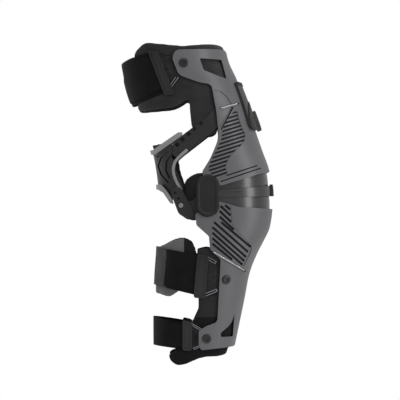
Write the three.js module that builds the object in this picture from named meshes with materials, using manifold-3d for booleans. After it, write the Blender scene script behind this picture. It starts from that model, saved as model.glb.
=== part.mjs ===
// A rigid knee brace of the kind worn under off-road riding trousers.
// The wearer faces +X, +Z is up and the leg runs along Z. The origin is on the mid plane,
// halfway between the two axles of the geared hinge. All lengths are millimetres.
import * as THREE from "three";
import { mergeVertices } from "three/addons/utils/BufferGeometryUtils.js";
import Module from "manifold-3d";

const wasm = await Module();
wasm.setup();

// Driving sizes
const thighLength = 195; // hinge centre up to the top of the thigh liner, nominal
const shinLength = 195; // hinge centre down to the bottom of the shin frame, nominal
const legReach = 130; // the length that fore-and-aft shares are taken of
const kneeHalfWidth = 58; // skin of the knee, from the mid plane
const sectionPower = 2.5; // 2 is an ellipse, more is squarer
const clearance = 0.3; // between pieces that touch
const overrun = 40; // how far a cutting tool passes its work
const seam = 1e-4; // vertices closer than this are one
const probe = 1; // half the distance over which a surface's slope is felt
const linerThickness = 2.8;
const bandThickness = 2.6; // webbing, rear guide and strap fittings
const shellThickness = 3;

// Layers around the leg, as distances from the skin.
const linerInner = clearance;
const linerOuter = linerInner + linerThickness;
const bandInner = linerOuter + clearance;
const bandOuter = bandInner + bandThickness;
const shellInner = bandOuter + clearance;
const shellOuter = shellInner + shellThickness;

// The leg, station by station
// Height (of the thigh or shin length), front, rear (of the reach), half width (of the knee's).
const legShares = [
  [1.1, 0.09, -0.85, 1.35],
  [0.91, 0.14, -0.83, 1.34],
  [0.777, 0.23, -0.795, 1.3],
  [0.637, 0.314, -0.735, 1.255],
  [0.47, 0.397, -0.615, 1.18],
  [0.303, 0.484, -0.515, 1.094],
  [0.157, 0.56, -0.47, 1.03],
  [0, 0.585, -0.445, 1],
  [-0.09, 0.587, -0.445, 1],
  [-0.23, 0.553, -0.465, 1],
  [-0.383, 0.438, -0.475, 1.01],
  [-0.517, 0.358, -0.49, 0.99],
  [-0.697, 0.304, -0.5, 0.906],
  [-1.01, 0.208, -0.5, 0.755],
  [-1.2, 0.16, -0.49, 0.7],
];

const heightOf = (share) => share * (share > 0 ? thighLength : shinLength);

// The leg's half depth, centre and half width at a height, on a smooth curve through the stations.
function legAt(z) {
  const rows = legShares.map(([h, front, rear, width]) => [
    heightOf(h), front * legReach, rear * legReach, width * kneeHalfWidth,
  ]);
  let i = rows.findIndex((row) => row[0] <= z);
  if (i < 1) i = i === 0 ? 1 : rows.length - 1;
  const [a, b] = [rows[i], rows[i - 1]];
  const [before, after] = [rows[Math.min(i + 1, rows.length - 1)], rows[Math.max(i - 2, 0)]];
  const span = b[0] - a[0];
  const t = Math.min(1, Math.max(0, (z - a[0]) / span));
  const value = (k) => {
    const slopeA = (b[k] - before[k]) / (b[0] - before[0] || span);
    const slopeB = (after[k] - a[k]) / (after[0] - a[0] || span);
    return (
      (2 * t ** 3 - 3 * t ** 2 + 1) * a[k] + (t ** 3 - 2 * t ** 2 + t) * span * slopeA +
      (3 * t ** 2 - 2 * t ** 3) * b[k] + (t ** 3 - t ** 2) * span * slopeB
    );
  };
  const [front, rear, half] = [value(1), value(2), value(3)];
  return { centre: (front + rear) / 2, depth: (front - rear) / 2, half };
}

const widestShare = 0.999; // the side view's outermost place that still has a side
const bulge = (v) => Math.sign(v) * Math.abs(v) ** (2 / sectionPower);

// The point of the leg's surface at an angle from straight ahead, pushed out by an offset.
function legPoint(angle, z, offset) {
  const leg = legAt(z);
  return [
    leg.centre + (leg.depth + offset) * bulge(Math.cos(angle)),
    (leg.half + offset) * bulge(Math.sin(angle)),
    z,
  ];
}

// How far from the mid plane the surface is at a place in the side view.
function legSide(x, z, offset) {
  const leg = legAt(z);
  const across = Math.min(widestShare, Math.abs(x - leg.centre) / (leg.depth + offset));
  return (leg.half + offset) * (1 - across ** sectionPower) ** (1 / sectionPower);
}

// Solids
function solidOf(geometry) {
  const plain = geometry.clone();
  plain.deleteAttribute("normal");
  plain.deleteAttribute("uv");
  const merged = mergeVertices(plain, seam);
  return new wasm.Manifold(
    new wasm.Mesh({
      numProp: 3,
      vertProperties: merged.attributes.position.array,
      triVerts: new Uint32Array(merged.index.array),
    }),
  );
}

function geometryOf(solid) {
  const mesh = solid.getMesh();
  const positions = new Float32Array(mesh.numVert * 3);
  for (let i = 0; i < mesh.numVert; i++)
    positions.set(mesh.vertProperties.subarray(i * mesh.numProp, i * mesh.numProp + 3), i * 3);
  const geometry = new THREE.BufferGeometry();
  geometry.setAttribute("position", new THREE.BufferAttribute(positions, 3));
  geometry.setIndex(new THREE.BufferAttribute(mesh.triVerts, 1));
  geometry.computeVertexNormals();
  return geometry;
}

const together = (solids) => solids.reduce((sum, s) => sum.add(s));
const mirrored = (solid) => solid.mirror([0, 1, 0]);
const point = (x, y) => new THREE.Vector2(x, y);

// A sleeve round the leg between two offsets and two heights.
// Every sleeve has the same stations, so that sleeves fit one inside another.
const steps = 24;
const riseShare = 0.18;
const rise = riseShare * thighLength;
function sleeve(inner, outer, bottom, top) {
  const low = Math.floor(bottom / rise) * rise;
  const high = Math.ceil(top / rise) * rise;
  const rings = Math.round((high - low) / rise);
  const positions = [];
  const faces = [];
  for (let r = 0; r <= rings; r++)
    for (const offset of [outer, inner])
      for (let s = 0; s < steps; s++)
        positions.push(...legPoint((s / steps) * 2 * Math.PI, low + ((high - low) * r) / rings, offset));
  const id = (ring, wall, step) => (ring * 2 + wall) * steps + (step % steps);
  const quad = (a, b, c, d) => faces.push(a, b, c, a, c, d);
  for (let s = 0; s < steps; s++) {
    // Both walls are split along the same diagonals, which are mirrored from side to side.
    const wallQuad = s < steps / 2 ? quad : (a, b, c, d) => quad(b, c, d, a);
    for (let r = 0; r < rings; r++) {
      wallQuad(id(r, 0, s), id(r, 0, s + 1), id(r + 1, 0, s + 1), id(r + 1, 0, s));
      wallQuad(id(r, 1, s), id(r + 1, 1, s), id(r + 1, 1, s + 1), id(r, 1, s + 1));
    }
    quad(id(0, 0, s + 1), id(0, 0, s), id(0, 1, s), id(0, 1, s + 1));
    quad(id(rings, 0, s), id(rings, 0, s + 1), id(rings, 1, s + 1), id(rings, 1, s));
  }
  const geometry = new THREE.BufferGeometry();
  geometry.setAttribute("position", new THREE.Float32BufferAttribute(positions, 3));
  geometry.setIndex(faces);
  return solidOf(geometry);
}

// A closed outline with its corners rounded off, as a THREE.Shape.
function rounded(points, radius) {
  const shape = new THREE.Shape();
  const count = points.length;
  points.forEach((corner, i) => {
    const before = points[(i + count - 1) % count];
    const after = points[(i + 1) % count];
    const cut = (other) => {
      const way = other.clone().sub(corner);
      return corner.clone().add(way.setLength(Math.min(radius, way.length() / 2.1)));
    };
    const [start, end] = [cut(before), cut(after)];
    if (i === 0) shape.moveTo(start.x, start.y);
    else shape.lineTo(start.x, start.y);
    shape.quadraticCurveTo(corner.x, corner.y, end.x, end.y);
  });
  shape.closePath();
  return shape;
}

// An outline's corners moved out by a distance, for the hole that a piece sits in.
function grown(points, by) {
  const turn = Math.sign(THREE.ShapeUtils.area(points));
  return points.map((corner, i) => {
    const before = corner.clone().sub(points[(i + points.length - 1) % points.length]).normalize();
    const after = points[(i + 1) % points.length].clone().sub(corner).normalize();
    const out = point(before.y + after.y, -before.x - after.x).multiplyScalar(turn);
    const half = Math.max(0.4, out.length() / 2);
    return corner.clone().add(out.setLength(by / half));
  });
}

// A side-view outline pushed through from one distance off the mid plane to another.
function sideCut(shape, from, to, curveSegments = 3) {
  const geometry = new THREE.ExtrudeGeometry(shape, { depth: to - from, bevelEnabled: false, curveSegments });
  geometry.rotateX(Math.PI / 2);
  geometry.translate(0, to, 0);
  return solidOf(geometry);
}

const wide = kneeHalfWidth + 2 * overrun; // past everything to either side
const leftSide = (shape, segments) => sideCut(shape, -wide, 0, segments);
const bothSides = (shape, segments) => sideCut(shape, -wide, wide, segments);

// A front-view outline (across, height) pushed fore and aft.
function frontCut(shape, from, to, curveSegments = 4) {
  const geometry = new THREE.ExtrudeGeometry(shape, { depth: to - from, bevelEnabled: false, curveSegments });
  geometry.applyMatrix4(new THREE.Matrix4().set(0, 0, 1, from, 1, 0, 0, 0, 0, 1, 0, 0, 0, 0, 0, 1));
  return solidOf(geometry);
}

const inThigh = (shares) => shares.map(([x, z]) => point(x * legReach, z * thighLength));
const inShin = (shares) => shares.map(([x, z]) => point(x * legReach, z * shinLength));

function lowHigh(shape) {
  const heights = shape.getPoints(4).map((p) => p.y);
  return [Math.min(...heights), Math.max(...heights)];
}

// A piece cut from a sleeve by its outline in the side view, on the left side, or round both.
function wrapped(shape, inner, outer, { both = false, segments = 2 } = {}) {
  const [low, high] = lowHigh(shape);
  const wall = sleeve(inner, outer, low - clearance, high + clearance);
  return wall.intersect(both ? bothSides(shape, segments) : leftSide(shape, segments));
}

// A turned piece with its axis out of the leg's left side at a place in the side view.
function turnedOut(profile, x, z, offset, steps = 8) {
  const solid = solidOf(new THREE.LatheGeometry(profile, steps));
  const y = -legSide(x, z, offset);
  const along = new THREE.Vector3(2 * probe, legSide(x - probe, z, offset) - legSide(x + probe, z, offset), 0);
  const up = new THREE.Vector3(0, legSide(x, z - probe, offset) - legSide(x, z + probe, offset), 2 * probe);
  const out = along.cross(up).normalize();
  const turn = new THREE.Quaternion().setFromUnitVectors(new THREE.Vector3(0, 1, 0), out);
  const matrix = new THREE.Matrix4().compose(new THREE.Vector3(x, y, z), turn, new THREE.Vector3(1, 1, 1));
  return solid.transform(matrix.elements);
}

const disc = (radius, from, to) => [point(0, from), point(radius, from), point(radius, to), point(0, to)];

// Materials
const look = (color, roughness, metalness = 0) =>
  new THREE.MeshStandardMaterial({ color, roughness, metalness });
const shellGrey = look(0x58585b, 0.5);
const cupGrey = look(0x6b6b70, 0.3);
const blackPlastic = look(0x202020, 0.55);
const guideGrey = look(0x6a6a6a, 0.5);
const webbing = look(0x141414, 0.95);
const foam = look(0x343130, 0.95);
const greyCloth = look(0x5b5b5e, 0.9);
const steel = look(0xa8a8ac, 0.3, 1);

const brace = new THREE.Group();
function add(name, solid, material) {
  const mesh = new THREE.Mesh(geometryOf(solid), material);
  mesh.name = name;
  brace.add(mesh);
}
function addPair(name, leftSolid, material) {
  add(name + "_left", leftSolid, material);
  add(name + "_right", mirrored(leftSolid), material);
}

// Hinge sizes
const axleSpacing = 25;
const axleRadius = 3;
const coverRadius = 14.5;
const coverGap = 0.7; // between the cover and the shells that turn round it
const upperAxle = point(0, axleSpacing / 2);
const lowerAxle = point(0, -axleSpacing / 2);
const plateThickness = 1.4;
const gearThickness = 4;
const earThickness = 1.3; // side walls of the knee cups and their band
const condylePadThickness = 6;
const coverDepth = 7;
const earSink = 1; // how far the outermost ear lies in from the shells
// The hinge is a stack, worked out from the innermost face of the shells towards the leg.
const bandEarOuter = kneeHalfWidth + shellInner - earSink;
const bandEarInner = bandEarOuter - earThickness;
const lowerEarOuter = bandEarInner - clearance;
const lowerEarInner = lowerEarOuter - earThickness;
const upperEarOuter = lowerEarInner - clearance;
const upperEarInner = upperEarOuter - earThickness;
const outerPlateOuter = upperEarInner - clearance;
const outerPlateInner = outerPlateOuter - plateThickness;
const gearOuter = outerPlateInner - clearance;
const gearInner = gearOuter - gearThickness;
const innerPlateOuter = gearInner - clearance;
const innerPlateInner = innerPlateOuter - plateThickness;
const padOuter = innerPlateInner - clearance;
const padInner = padOuter - condylePadThickness;

const circle = (centre, radius) => {
  const shape = new THREE.Shape();
  shape.absarc(centre.x, centre.y, radius, 0, 2 * Math.PI);
  return shape;
};
function stadium(radius) {
  const shape = new THREE.Shape();
  shape.absarc(upperAxle.x, upperAxle.y, radius, 0, Math.PI);
  shape.absarc(lowerAxle.x, lowerAxle.y, radius, Math.PI, 2 * Math.PI);
  shape.closePath();
  return shape;
}
// A side-view outline made solid on the left, between two distances from the mid plane.
const leftSlab = (shape, inner, outer, segments = 3) => sideCut(shape, -outer, -inner, segments);

// Fasteners
const boltHeadRadius = 6;
const boltHeadHeight = 2.4;
const boltShankRadius = 2.6;
const spotDepth = 1;
const boltProfile = () => {
  const seat = -spotDepth + clearance;
  const top = seat + boltHeadHeight;
  const edge = boltHeadHeight / 4;
  return [
    point(0, -shellThickness),
    point(boltShankRadius, -shellThickness),
    point(boltShankRadius, seat),
    point(boltHeadRadius, seat),
    point(boltHeadRadius, top - edge),
    point(boltHeadRadius - edge, top),
    point(boltHeadRadius / 3, top),
    point(boltHeadRadius / 3, top - boltHeadHeight / 2),
    point(0, top - boltHeadHeight / 2),
  ];
};
const boltHole = (x, z) =>
  turnedOut(disc(boltShankRadius + clearance, -overrun / 4, overrun / 4), x, z, shellOuter)
    .add(turnedOut(disc(boltHeadRadius + clearance, -spotDepth, overrun / 8), x, z, shellOuter));
const bolt = (x, z) => turnedOut(boltProfile(), x, z, shellOuter);

// Thigh frame
const thighOutlineShares = [
  [-0.315, 0.964], [0.188, 0.974], [0.208, 0.913], [0.254, 0.851], [0.3, 0.774], [0.469, 0.467],
  [0.638, 0.154], [0.538, 0.147], [0.119, 0.062], [-0.065, 0.147], [0.027, 0.246], [0.095, 0.354],
  [0.112, 0.4], [0.085, 0.569], [0.038, 0.736], [-0.085, 0.749], [-0.285, 0.797], [-0.354, 0.913],
];
const thighOutline = inThigh(thighOutlineShares);
const shinOutlineShares = [
  [0.665, -0.091], [0.627, -0.228], [0.512, -0.379], [0.435, -0.518], [0.277, -1.01], [-0.065, -1.031],
  [-0.088, -0.995], [-0.088, -0.903], [-0.019, -0.872], [0.085, -0.846], [0.1, -0.826], [0.131, -0.426],
  [0.027, -0.359], [0.015, -0.272], [-0.111, -0.197], [-0.123, -0.123], [0.119, -0.039], [0.3, -0.075],
];
const shinOutline = inShin(shinOutlineShares);
const thighBoltShares = [-0.238, 0.877];
const shinBoltShares = [0.188, -0.559];
const footBoltShares = [-0.008, -0.954];
const [thighBolt] = inThigh([thighBoltShares]);
const [shinBolt, footBolt] = inShin([shinBoltShares, footBoltShares]);
const cornerRadius = 9;
const cupTurn = 0.6; // between the knee cups and what they turn inside
const cupRadiusUpper = 79.8;
const cupStep = 2.2; // from the outside of one cup to the outside of the next
const cupRadiusLower = cupRadiusUpper + cupStep;
const cupWall = 2.3;
const bandInnerRadius = cupRadiusLower + clearance;
const bandWall = 2.4;
const bandRadius = bandInnerRadius + bandWall;

const archPower = 2.2;
const earFlat = 20; // the ears are flat round their axle as far as this

// Half of a closed arch across the leg, for turning about the hinge's axis.
function archProfile(ear, radius, steps = 6) {
  const points = [point(0, -ear)];
  for (let i = -steps; i <= steps; i++) {
    const t = ((i / steps) * Math.PI) / 2;
    const across = Math.abs(Math.sin(t)) ** (2 / archPower) * Math.sign(t);
    const reach = i === -steps || i === steps ? 0 : Math.cos(t) ** (2 / archPower);
    points.push(point(earFlat + (radius - earFlat) * reach, ear * across));
  }
  points.push(point(0, ear));
  return points;
}
function dome(ear, radius, height, steps = 40) {
  return solidOf(new THREE.LatheGeometry(archProfile(ear, radius), steps)).translate([0, 0, height]);
}

const frameWindowShares = [[-0.072, 0.913], [0.131, 0.918], [0.188, 0.779], [-0.031, 0.831]];
const frameWindow = rounded(inThigh(frameWindowShares), cornerRadius);
const tensionerCornersShares = [
  [0.277, 0.764], [0.42, 0.749], [0.6, 0.6], [0.7, 0.574], [0.7, 0.451], [0.46, 0.441], [0.4, 0.47],
  [0.315, 0.6], [0.25, 0.7],
];
const tensionerCorners = inThigh(tensionerCornersShares);
const tensionerShape = rounded(tensionerCorners, cornerRadius / 2);
const pocketShape = rounded(grown(tensionerCorners, 2 * clearance), cornerRadius / 2);
const tensionerProud = 4.6;

// Narrow raised or cut lines over a shell: strips of the side view between two offsets.
function strip(from, to, half) {
  const along = to.clone().sub(from).setLength(half);
  const side = point(-along.y, along.x);
  const shape = new THREE.Shape();
  shape.moveTo(from.x + side.x, from.y + side.y);
  shape.lineTo(from.x - side.x, from.y - side.y);
  shape.lineTo(to.x - side.x, to.y - side.y);
  shape.lineTo(to.x + side.x, to.y + side.y);
  shape.closePath();
  return shape;
}

const tensionerSink = 1.2;
const tensionerSpanShares = [0.4, 0.8]; // heights that its recess lies between
let thighShell = wrapped(rounded(thighOutline, cornerRadius), shellInner, shellOuter, { both: true });
thighShell = thighShell
  .subtract(bothSides(frameWindow))
  .subtract(
    sleeve(shellOuter - tensionerSink, shellOuter + overrun, ...tensionerSpanShares.map(heightOf))
      .intersect(bothSides(pocketShape)),
  );

// Bosses reach in from the shells to the hinge's gear plates.
const thighBossShares = [[-0.03, 0.17], [0.07, 0.18], [0.15, 0.26], [0.12, 0.33], [0.05, 0.25]];
const shinBossShares = [[0.06, -0.185], [0.11, -0.19], [0.17, -0.31], [0.1, -0.35], [0.07, -0.27]];
const thighBossShape = rounded(inThigh(thighBossShares), cornerRadius / 3);
const shinBossShape = rounded(inShin(shinBossShares), cornerRadius / 3);
const bossFrom = gearOuter + clearance;
const boss = (shape) => {
  const [low, high] = lowHigh(shape);
  const left = leftSlab(shape, bossFrom, wide, 3)
    .intersect(sleeve(-overrun / 2, shellInner + shellThickness / 2, low - clearance, high + clearance));
  return left.add(mirrored(left));
};
thighShell = thighShell.add(boss(thighBossShape));
const coverHole = (centre, radius) => bothSides(circle(centre, radius), 12);
const aroundBoss = boss(thighBossShape).add(boss(shinBossShape));
thighShell = thighShell
  .subtract(coverHole(upperAxle, coverRadius + coverGap))
  .subtract(dome(lowerEarOuter + cupTurn, cupRadiusUpper + cupTurn, upperAxle.y).subtract(aroundBoss));

const thighHoles = together([thighBolt].map((b) => boltHole(b.x, b.y)));
thighShell = thighShell.subtract(thighHoles).subtract(mirrored(thighHoles));

// Shin frame
const shinWindowShares = [
  [0.271, -0.79], [0.255, -0.944], [0.133, -0.944], [0.133, -0.916], [0.205, -0.877], [0.245, -0.844],
];
const shinWindow = rounded(inShin(shinWindowShares), cornerRadius / 3);
let shinShell = wrapped(rounded(shinOutline, cornerRadius), shellInner, shellOuter, { both: true })
  .subtract(bothSides(shinWindow))
  .add(boss(shinBossShape))
  .subtract(coverHole(lowerAxle, coverRadius + coverGap))
  .subtract(dome(lowerEarOuter + cupTurn, cupRadiusLower + cupTurn, lowerAxle.y).subtract(aroundBoss));
const shinHoles = together([shinBolt, footBolt].map((b) => boltHole(b.x, b.y)));
shinShell = shinShell.subtract(shinHoles).subtract(mirrored(shinHoles));

// Grooves and ribs in the frames
const ribCount = 13;
const slotCount = 8;
const ribHalf = 0.8;
const grooveDepth = 1.1;
// Each panel of parallel lines runs between a left and a right edge, from its foot to its head.
const ribLeftShares = [[0.15, 0.33], [0.125, 0.41], [0.11, 0.57], [0.06, 0.735]];
const ribRightShares = [[0.235, 0.42], [0.25, 0.5], [0.23, 0.62], [0.17, 0.77]];
const slotLeftShares = [[0.06, -0.34], [0.05, -0.27], [0.05, -0.18], [0.12, -0.12]];
const slotRightShares = [[0.29, -0.47], [0.32, -0.42], [0.28, -0.33], [0.23, -0.23]];
const ribEdges = { left: inThigh(ribLeftShares), right: inThigh(ribRightShares) };
const slotEdges = { left: inShin(slotLeftShares), right: inShin(slotRightShares) };
function along(line, share) {
  const place = share * (line.length - 1);
  const i = Math.min(line.length - 2, Math.floor(place));
  return line[i].clone().lerp(line[i + 1], place - i);
}
const grooves = [];
for (const [edges, count] of [[ribEdges, ribCount], [slotEdges, slotCount]])
  for (let i = 0; i < count; i++)
    grooves.push(
      leftSide(strip(along(edges.left, i / (count - 1)), along(edges.right, i / (count - 1)), ribHalf), 1),
    );
// Two long lines along the thigh frame's lower edge, and one along the shin frame's upper edge.
const lowerEdgeShares = [[0.18, 0.115], [0.5, 0.165]];
const secondEdgeShares = [[0.18, 0.155], [0.5, 0.205]];
const upperEdgeShares = [[0.18, -0.105], [0.33, -0.13]];
for (const ends of [inThigh(lowerEdgeShares), inThigh(secondEdgeShares), inShin(upperEdgeShares)])
  grooves.push(leftSide(strip(...ends, ribHalf), 1));
const grooveSpanShares = [-0.5, 0.8]; // heights that all the grooves lie between
const outerSkin = sleeve(shellOuter - grooveDepth, shellOuter + clearance, ...grooveSpanShares.map(heightOf));
const cutLines = together(grooves).intersect(outerSkin);
const allLines = cutLines.add(mirrored(cutLines));
thighShell = thighShell.subtract(allLines);
shinShell = shinShell.subtract(allLines);
add("thigh_frame", thighShell, shellGrey);
add("shin_frame", shinShell, shellGrey);

// Tensioner on the thigh's front, with its reel dial
// Half its width is a share of the knee's, and its heights are shares of the thigh's length.
const housingFrontShares = [[-0.8, 0.8], [0.8, 0.8], [0.8, 0.4], [-0.8, 0.4]];
const housingFront = housingFrontShares.map(([y, z]) => point(y * kneeHalfWidth, heightOf(z)));
const tensionerShell = wrapped(
  tensionerShape, shellOuter - tensionerSink + clearance, shellOuter + tensionerProud, { both: true },
).intersect(frontCut(rounded(housingFront, cornerRadius), 0, 2 * legReach));
const dialHeightShare = 0.5;
const dialHeight = heightOf(dialHeightShare);
const dialRadius = 14;
const dialThickness = 8;
const dialSink = 2.4;
const [above, below] = [legShares[4], legShares[6]];
const dialLean = Math.atan2((above[1] - below[1]) * legReach, heightOf(above[0] - below[0]));
const dialX = legPoint(0, dialHeight, shellOuter + tensionerProud)[0];
const placeDial = (solid) =>
  solid.transform(
    new THREE.Matrix4()
      .makeTranslation(dialX, 0, dialHeight)
      .multiply(new THREE.Matrix4().makeRotationY(Math.PI / 2 + dialLean))
      .multiply(new THREE.Matrix4().makeRotationX(Math.PI / 2)).elements,
  );
const dialNotches = 18;
const notchDepth = 0.6;
const dialShape = new THREE.Shape();
for (let i = 0; i < dialNotches * 2; i++) {
  const angle = (i / (dialNotches * 2)) * 2 * Math.PI;
  const r = dialRadius - (i % 2) * notchDepth;
  const at = point(r * Math.cos(angle), r * Math.sin(angle));
  if (i === 0) dialShape.moveTo(at.x, at.y);
  else dialShape.lineTo(at.x, at.y);
}
dialShape.closePath();
const dialDisc = new THREE.ExtrudeGeometry(dialShape, { depth: dialThickness - dialSink, bevelEnabled: false });
dialDisc.rotateX(-Math.PI / 2);
const pinRadius = 3;
const pinRoot = 1; // how far the pin is let into the housing
const dialSolid = solidOf(dialDisc)
  .translate([0, -dialSink + clearance, 0])
  .subtract(solidOf(new THREE.LatheGeometry([
    point(0, -dialThickness), point(pinRadius + clearance, -dialThickness),
    point(pinRadius + clearance, dialThickness / 4), point(0, dialThickness / 4),
  ], 20)));
const dialWell = solidOf(new THREE.LatheGeometry(disc(dialRadius + clearance * 2, -dialSink, overrun / 4), 40));
const pinTop = dialThickness / 4 - clearance;
const dialPin = solidOf(new THREE.LatheGeometry(disc(pinRadius, -dialSink - pinRoot, pinTop), 20));
add("tensioner_housing", tensionerShell.subtract(placeDial(dialWell)).add(placeDial(dialPin)), blackPlastic);
add("reel_dial", placeDial(dialSolid), guideGrey);

// Geared hinge
const teethCount = 20;
const teethCut = 4; // either side of the one that points at the other gear
const toothDepth = 1.9;
function gear(centre, towards, shift) {
  const pitch = axleSpacing / 2;
  const step = (2 * Math.PI) / teethCount;
  const corners = [];
  const put = (angle, radius) =>
    corners.push(point(centre.x + radius * Math.cos(angle), centre.y + radius * Math.sin(angle)));
  for (let i = -teethCut; i <= teethCut; i++)
    for (const [k, r] of [[-0.36, -1], [-0.15, 0.8], [0.15, 0.8], [0.36, -1]])
      put(towards + (i + shift + k) * step, pitch - clearance / 2 + (r * toothDepth) / 2);
  for (let i = teethCut + 1; i < teethCount - teethCut; i++)
    put(towards + (i + shift) * step, pitch - clearance / 2 - toothDepth / 2);
  return leftSlab(new THREE.Shape(corners), gearInner, gearOuter, 1);
}
const inner = (shape) => leftSlab(shape, gearInner, gearOuter, 3);
const axleHole = (at) => leftSlab(circle(at, axleRadius + clearance), -wide, wide, 5);
const thighArmShares = [[-0.05, 0.09], [0.05, 0.09], [0.15, 0.26], [0.13, 0.33], [0.04, 0.25], [-0.04, 0.17]];
const shinArmShares = [
  [-0.03, -0.09], [0.06, -0.09], [0.12, -0.19], [0.17, -0.31], [0.1, -0.35], [0.06, -0.27], [0.02, -0.16],
];
const thighArm = rounded(inThigh(thighArmShares), cornerRadius / 3);
const shinArm = rounded(inShin(shinArmShares), cornerRadius / 3);
addPair("thigh_gear",
  gear(upperAxle, -Math.PI / 2, 0).add(inner(thighArm)).subtract(axleHole(upperAxle)), steel);
addPair("shin_gear",
  gear(lowerAxle, Math.PI / 2, 0.5).add(inner(shinArm)).subtract(axleHole(lowerAxle)), steel);
const plateShape = stadium(coverRadius - clearance);
const bothHoles = axleHole(upperAxle).add(axleHole(lowerAxle));
// The outer plate has a lug to the rear, which the guide's lower arm is screwed to.
const lugShares = [
  [-0.02, 0.05], [-0.02, -0.12], [-0.13, -0.17], [-0.21, -0.155], [-0.285, -0.115], [-0.3, -0.055], [-0.25, -0.025],
  [-0.16, -0.04],
];
const lugShape = rounded(lugShares.map(([x, z]) => point(x * legReach, z * shinLength)), cornerRadius / 3);
const screwShankRadius = 1.3;
const screwHeadRadius = 3.2;
const screwHeadHeight = 1.8;
const screwShares = [-0.265, -0.066];
const [screwAt] = inShin([screwShares]);
const screwHole = leftSlab(circle(screwAt, screwShankRadius + clearance), gearInner, wide, 3);
addPair("hinge_plate_outer",
  leftSlab(plateShape, outerPlateInner, outerPlateOuter, 6)
    .add(leftSlab(lugShape, outerPlateInner, outerPlateOuter, 2))
    .subtract(bothHoles)
    .subtract(screwHole), steel);

// Covers hide the hinge, with a shallow dished face.
const coverInner = bandEarOuter + clearance;
const coverOuter = coverInner + coverDepth;
const coverEdge = 1.5;
const coverSolid = leftSlab(stadium(coverRadius), coverInner, coverOuter - coverEdge, 5)
  .add(leftSlab(stadium(coverRadius - coverEdge), coverInner, coverOuter, 5))
  .subtract(leftSlab(stadium(coverRadius - 3 * coverEdge), coverOuter - coverEdge / 2, coverOuter + coverEdge, 5));
const axleFrom = innerPlateInner;
const axleTo = coverInner + coverDepth / 2;
const sockets = leftSlab(circle(upperAxle, axleRadius + clearance), coverInner - clearance, axleTo + clearance, 5)
  .add(leftSlab(circle(lowerAxle, axleRadius + clearance), coverInner - clearance, axleTo + clearance, 5));
addPair("hinge_cover", coverSolid.subtract(sockets), blackPlastic);
// The inner plate carries both axles as pins.
addPair("hinge_plate_inner",
  leftSlab(plateShape, innerPlateInner, innerPlateOuter, 6)
    .add(leftSlab(circle(upperAxle, axleRadius), axleFrom, axleTo, 5))
    .add(leftSlab(circle(lowerAxle, axleRadius), axleFrom, axleTo, 5)), steel);

// Knee cups: two lames that slide under the frames, and a carrier lame between them
const eyeRadius = 8;
const splitRise = 0.075;
const splitGap = 1.7;
const webHalf = 1;
const splitStart = 0.8;
const reachFront = legReach;
const splitLine = (lift) => [0, reachFront].map((x) => point(x, splitStart + lift + splitRise * x));
function wedge(bottom, top) {
  const shape = new THREE.Shape();
  shape.moveTo(bottom[0].x, bottom[0].y);
  shape.lineTo(bottom[1].x, bottom[1].y);
  shape.lineTo(top[1].x, top[1].y);
  shape.lineTo(top[0].x, top[0].y);
  shape.closePath();
  return shape;
}
const rayFrom = (at, degrees, gap) => {
  const angle = (degrees * Math.PI) / 180;
  const start = point(at.x, at.y + gap);
  return [start, point(Math.cos(angle), Math.sin(angle)).multiplyScalar(reachFront).add(start)];
};
const cupAngle = 42;
function cup(at, ear, radius, shape) {
  const wall = dome(ear, radius, at.y).subtract(dome(ear - earThickness, radius - cupWall, at.y));
  const side = bothSides(shape, 2);
  const eye = leftSlab(circle(at, eyeRadius), ear - earThickness, ear);
  return wall.intersect(side).add(eye).add(mirrored(eye))
    .subtract(axleHole(at)).subtract(mirrored(axleHole(at)));
}
const upperWedge = wedge(splitLine(splitGap), rayFrom(upperAxle, cupAngle, eyeRadius / 2));
const lowerWedge = wedge(rayFrom(lowerAxle, -cupAngle, -eyeRadius / 2), splitLine(-splitGap));
add("upper_knee_cup", cup(upperAxle, upperEarOuter, cupRadiusUpper, upperWedge), cupGrey);
add("lower_knee_cup", cup(lowerAxle, lowerEarOuter, cupRadiusLower, lowerWedge), cupGrey);

// The carrier lame: an inner bowl, an outer band and the web that joins them through the split.
const bowlTurn = 2.1; // the bowl turns about the middle, the cups about their axles
const bowlRadius = cupRadiusUpper - cupWall - bowlTurn;
const bowlEar = innerPlateInner - clearance;
// The bowl's wedge starts a share of the reach ahead of the hinge and opens out to the front.
const bowlStartShares = [0.3, 0.2];
const bowlEndShares = [1, 0.36];
const [bowlStart, bowlEnd] = [bowlStartShares, bowlEndShares].map(([x, z]) => point(x * legReach, z * legReach));
const down = (at) => point(at.x, -at.y);
const bowlShape = wedge([down(bowlStart), down(bowlEnd)], [bowlStart, bowlEnd]);
const bowl = dome(bowlEar, bowlRadius, 0).subtract(dome(bowlEar - earThickness, bowlRadius - cupWall, 0))
  .intersect(bothSides(bowlShape, 2));
const bandFootShares = [[-0.05, -0.014], [1, 0]];
const bandHeadShares = [[-0.05, 0.026], [1, 0.086]];
const bandShape = wedge(inShin(bandFootShares), inThigh(bandHeadShares));
const outerBand = dome(bandEarOuter, bandRadius, 0).subtract(dome(bandEarInner, bandInnerRadius, 0))
  .intersect(bothSides(bandShape, 2));
const webStartShare = 0.31;
const webLine = (lift) =>
  [webStartShare * legReach, reachFront].map((x) => point(x, splitStart + lift + splitRise * x));
const webShape = wedge(webLine(-webHalf), webLine(webHalf));
const web = dome(bandEarOuter - clearance, bandRadius - clearance, 0)
  .subtract(dome(bowlEar - clearance, bowlRadius - clearance * 2, 0)).intersect(bothSides(webShape, 2));
const blockShares = [[-0.3, -0.005], [0.3, -0.005], [0.258, 0.075], [-0.258, 0.075]];
const blockCorners = blockShares.map(([y, z]) => point(y * kneeHalfWidth, z * thighLength));
const blockShape = rounded(blockCorners, cornerRadius / 4);
const blockWall = 2.7;
const blockRadius = bandRadius + blockWall;
const block = dome(bandEarOuter + blockWall, blockRadius, 0)
  .subtract(dome(bandEarOuter - clearance, bandRadius - clearance, 0))
  .intersect(frontCut(blockShape, 0, 2 * legReach));
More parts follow.
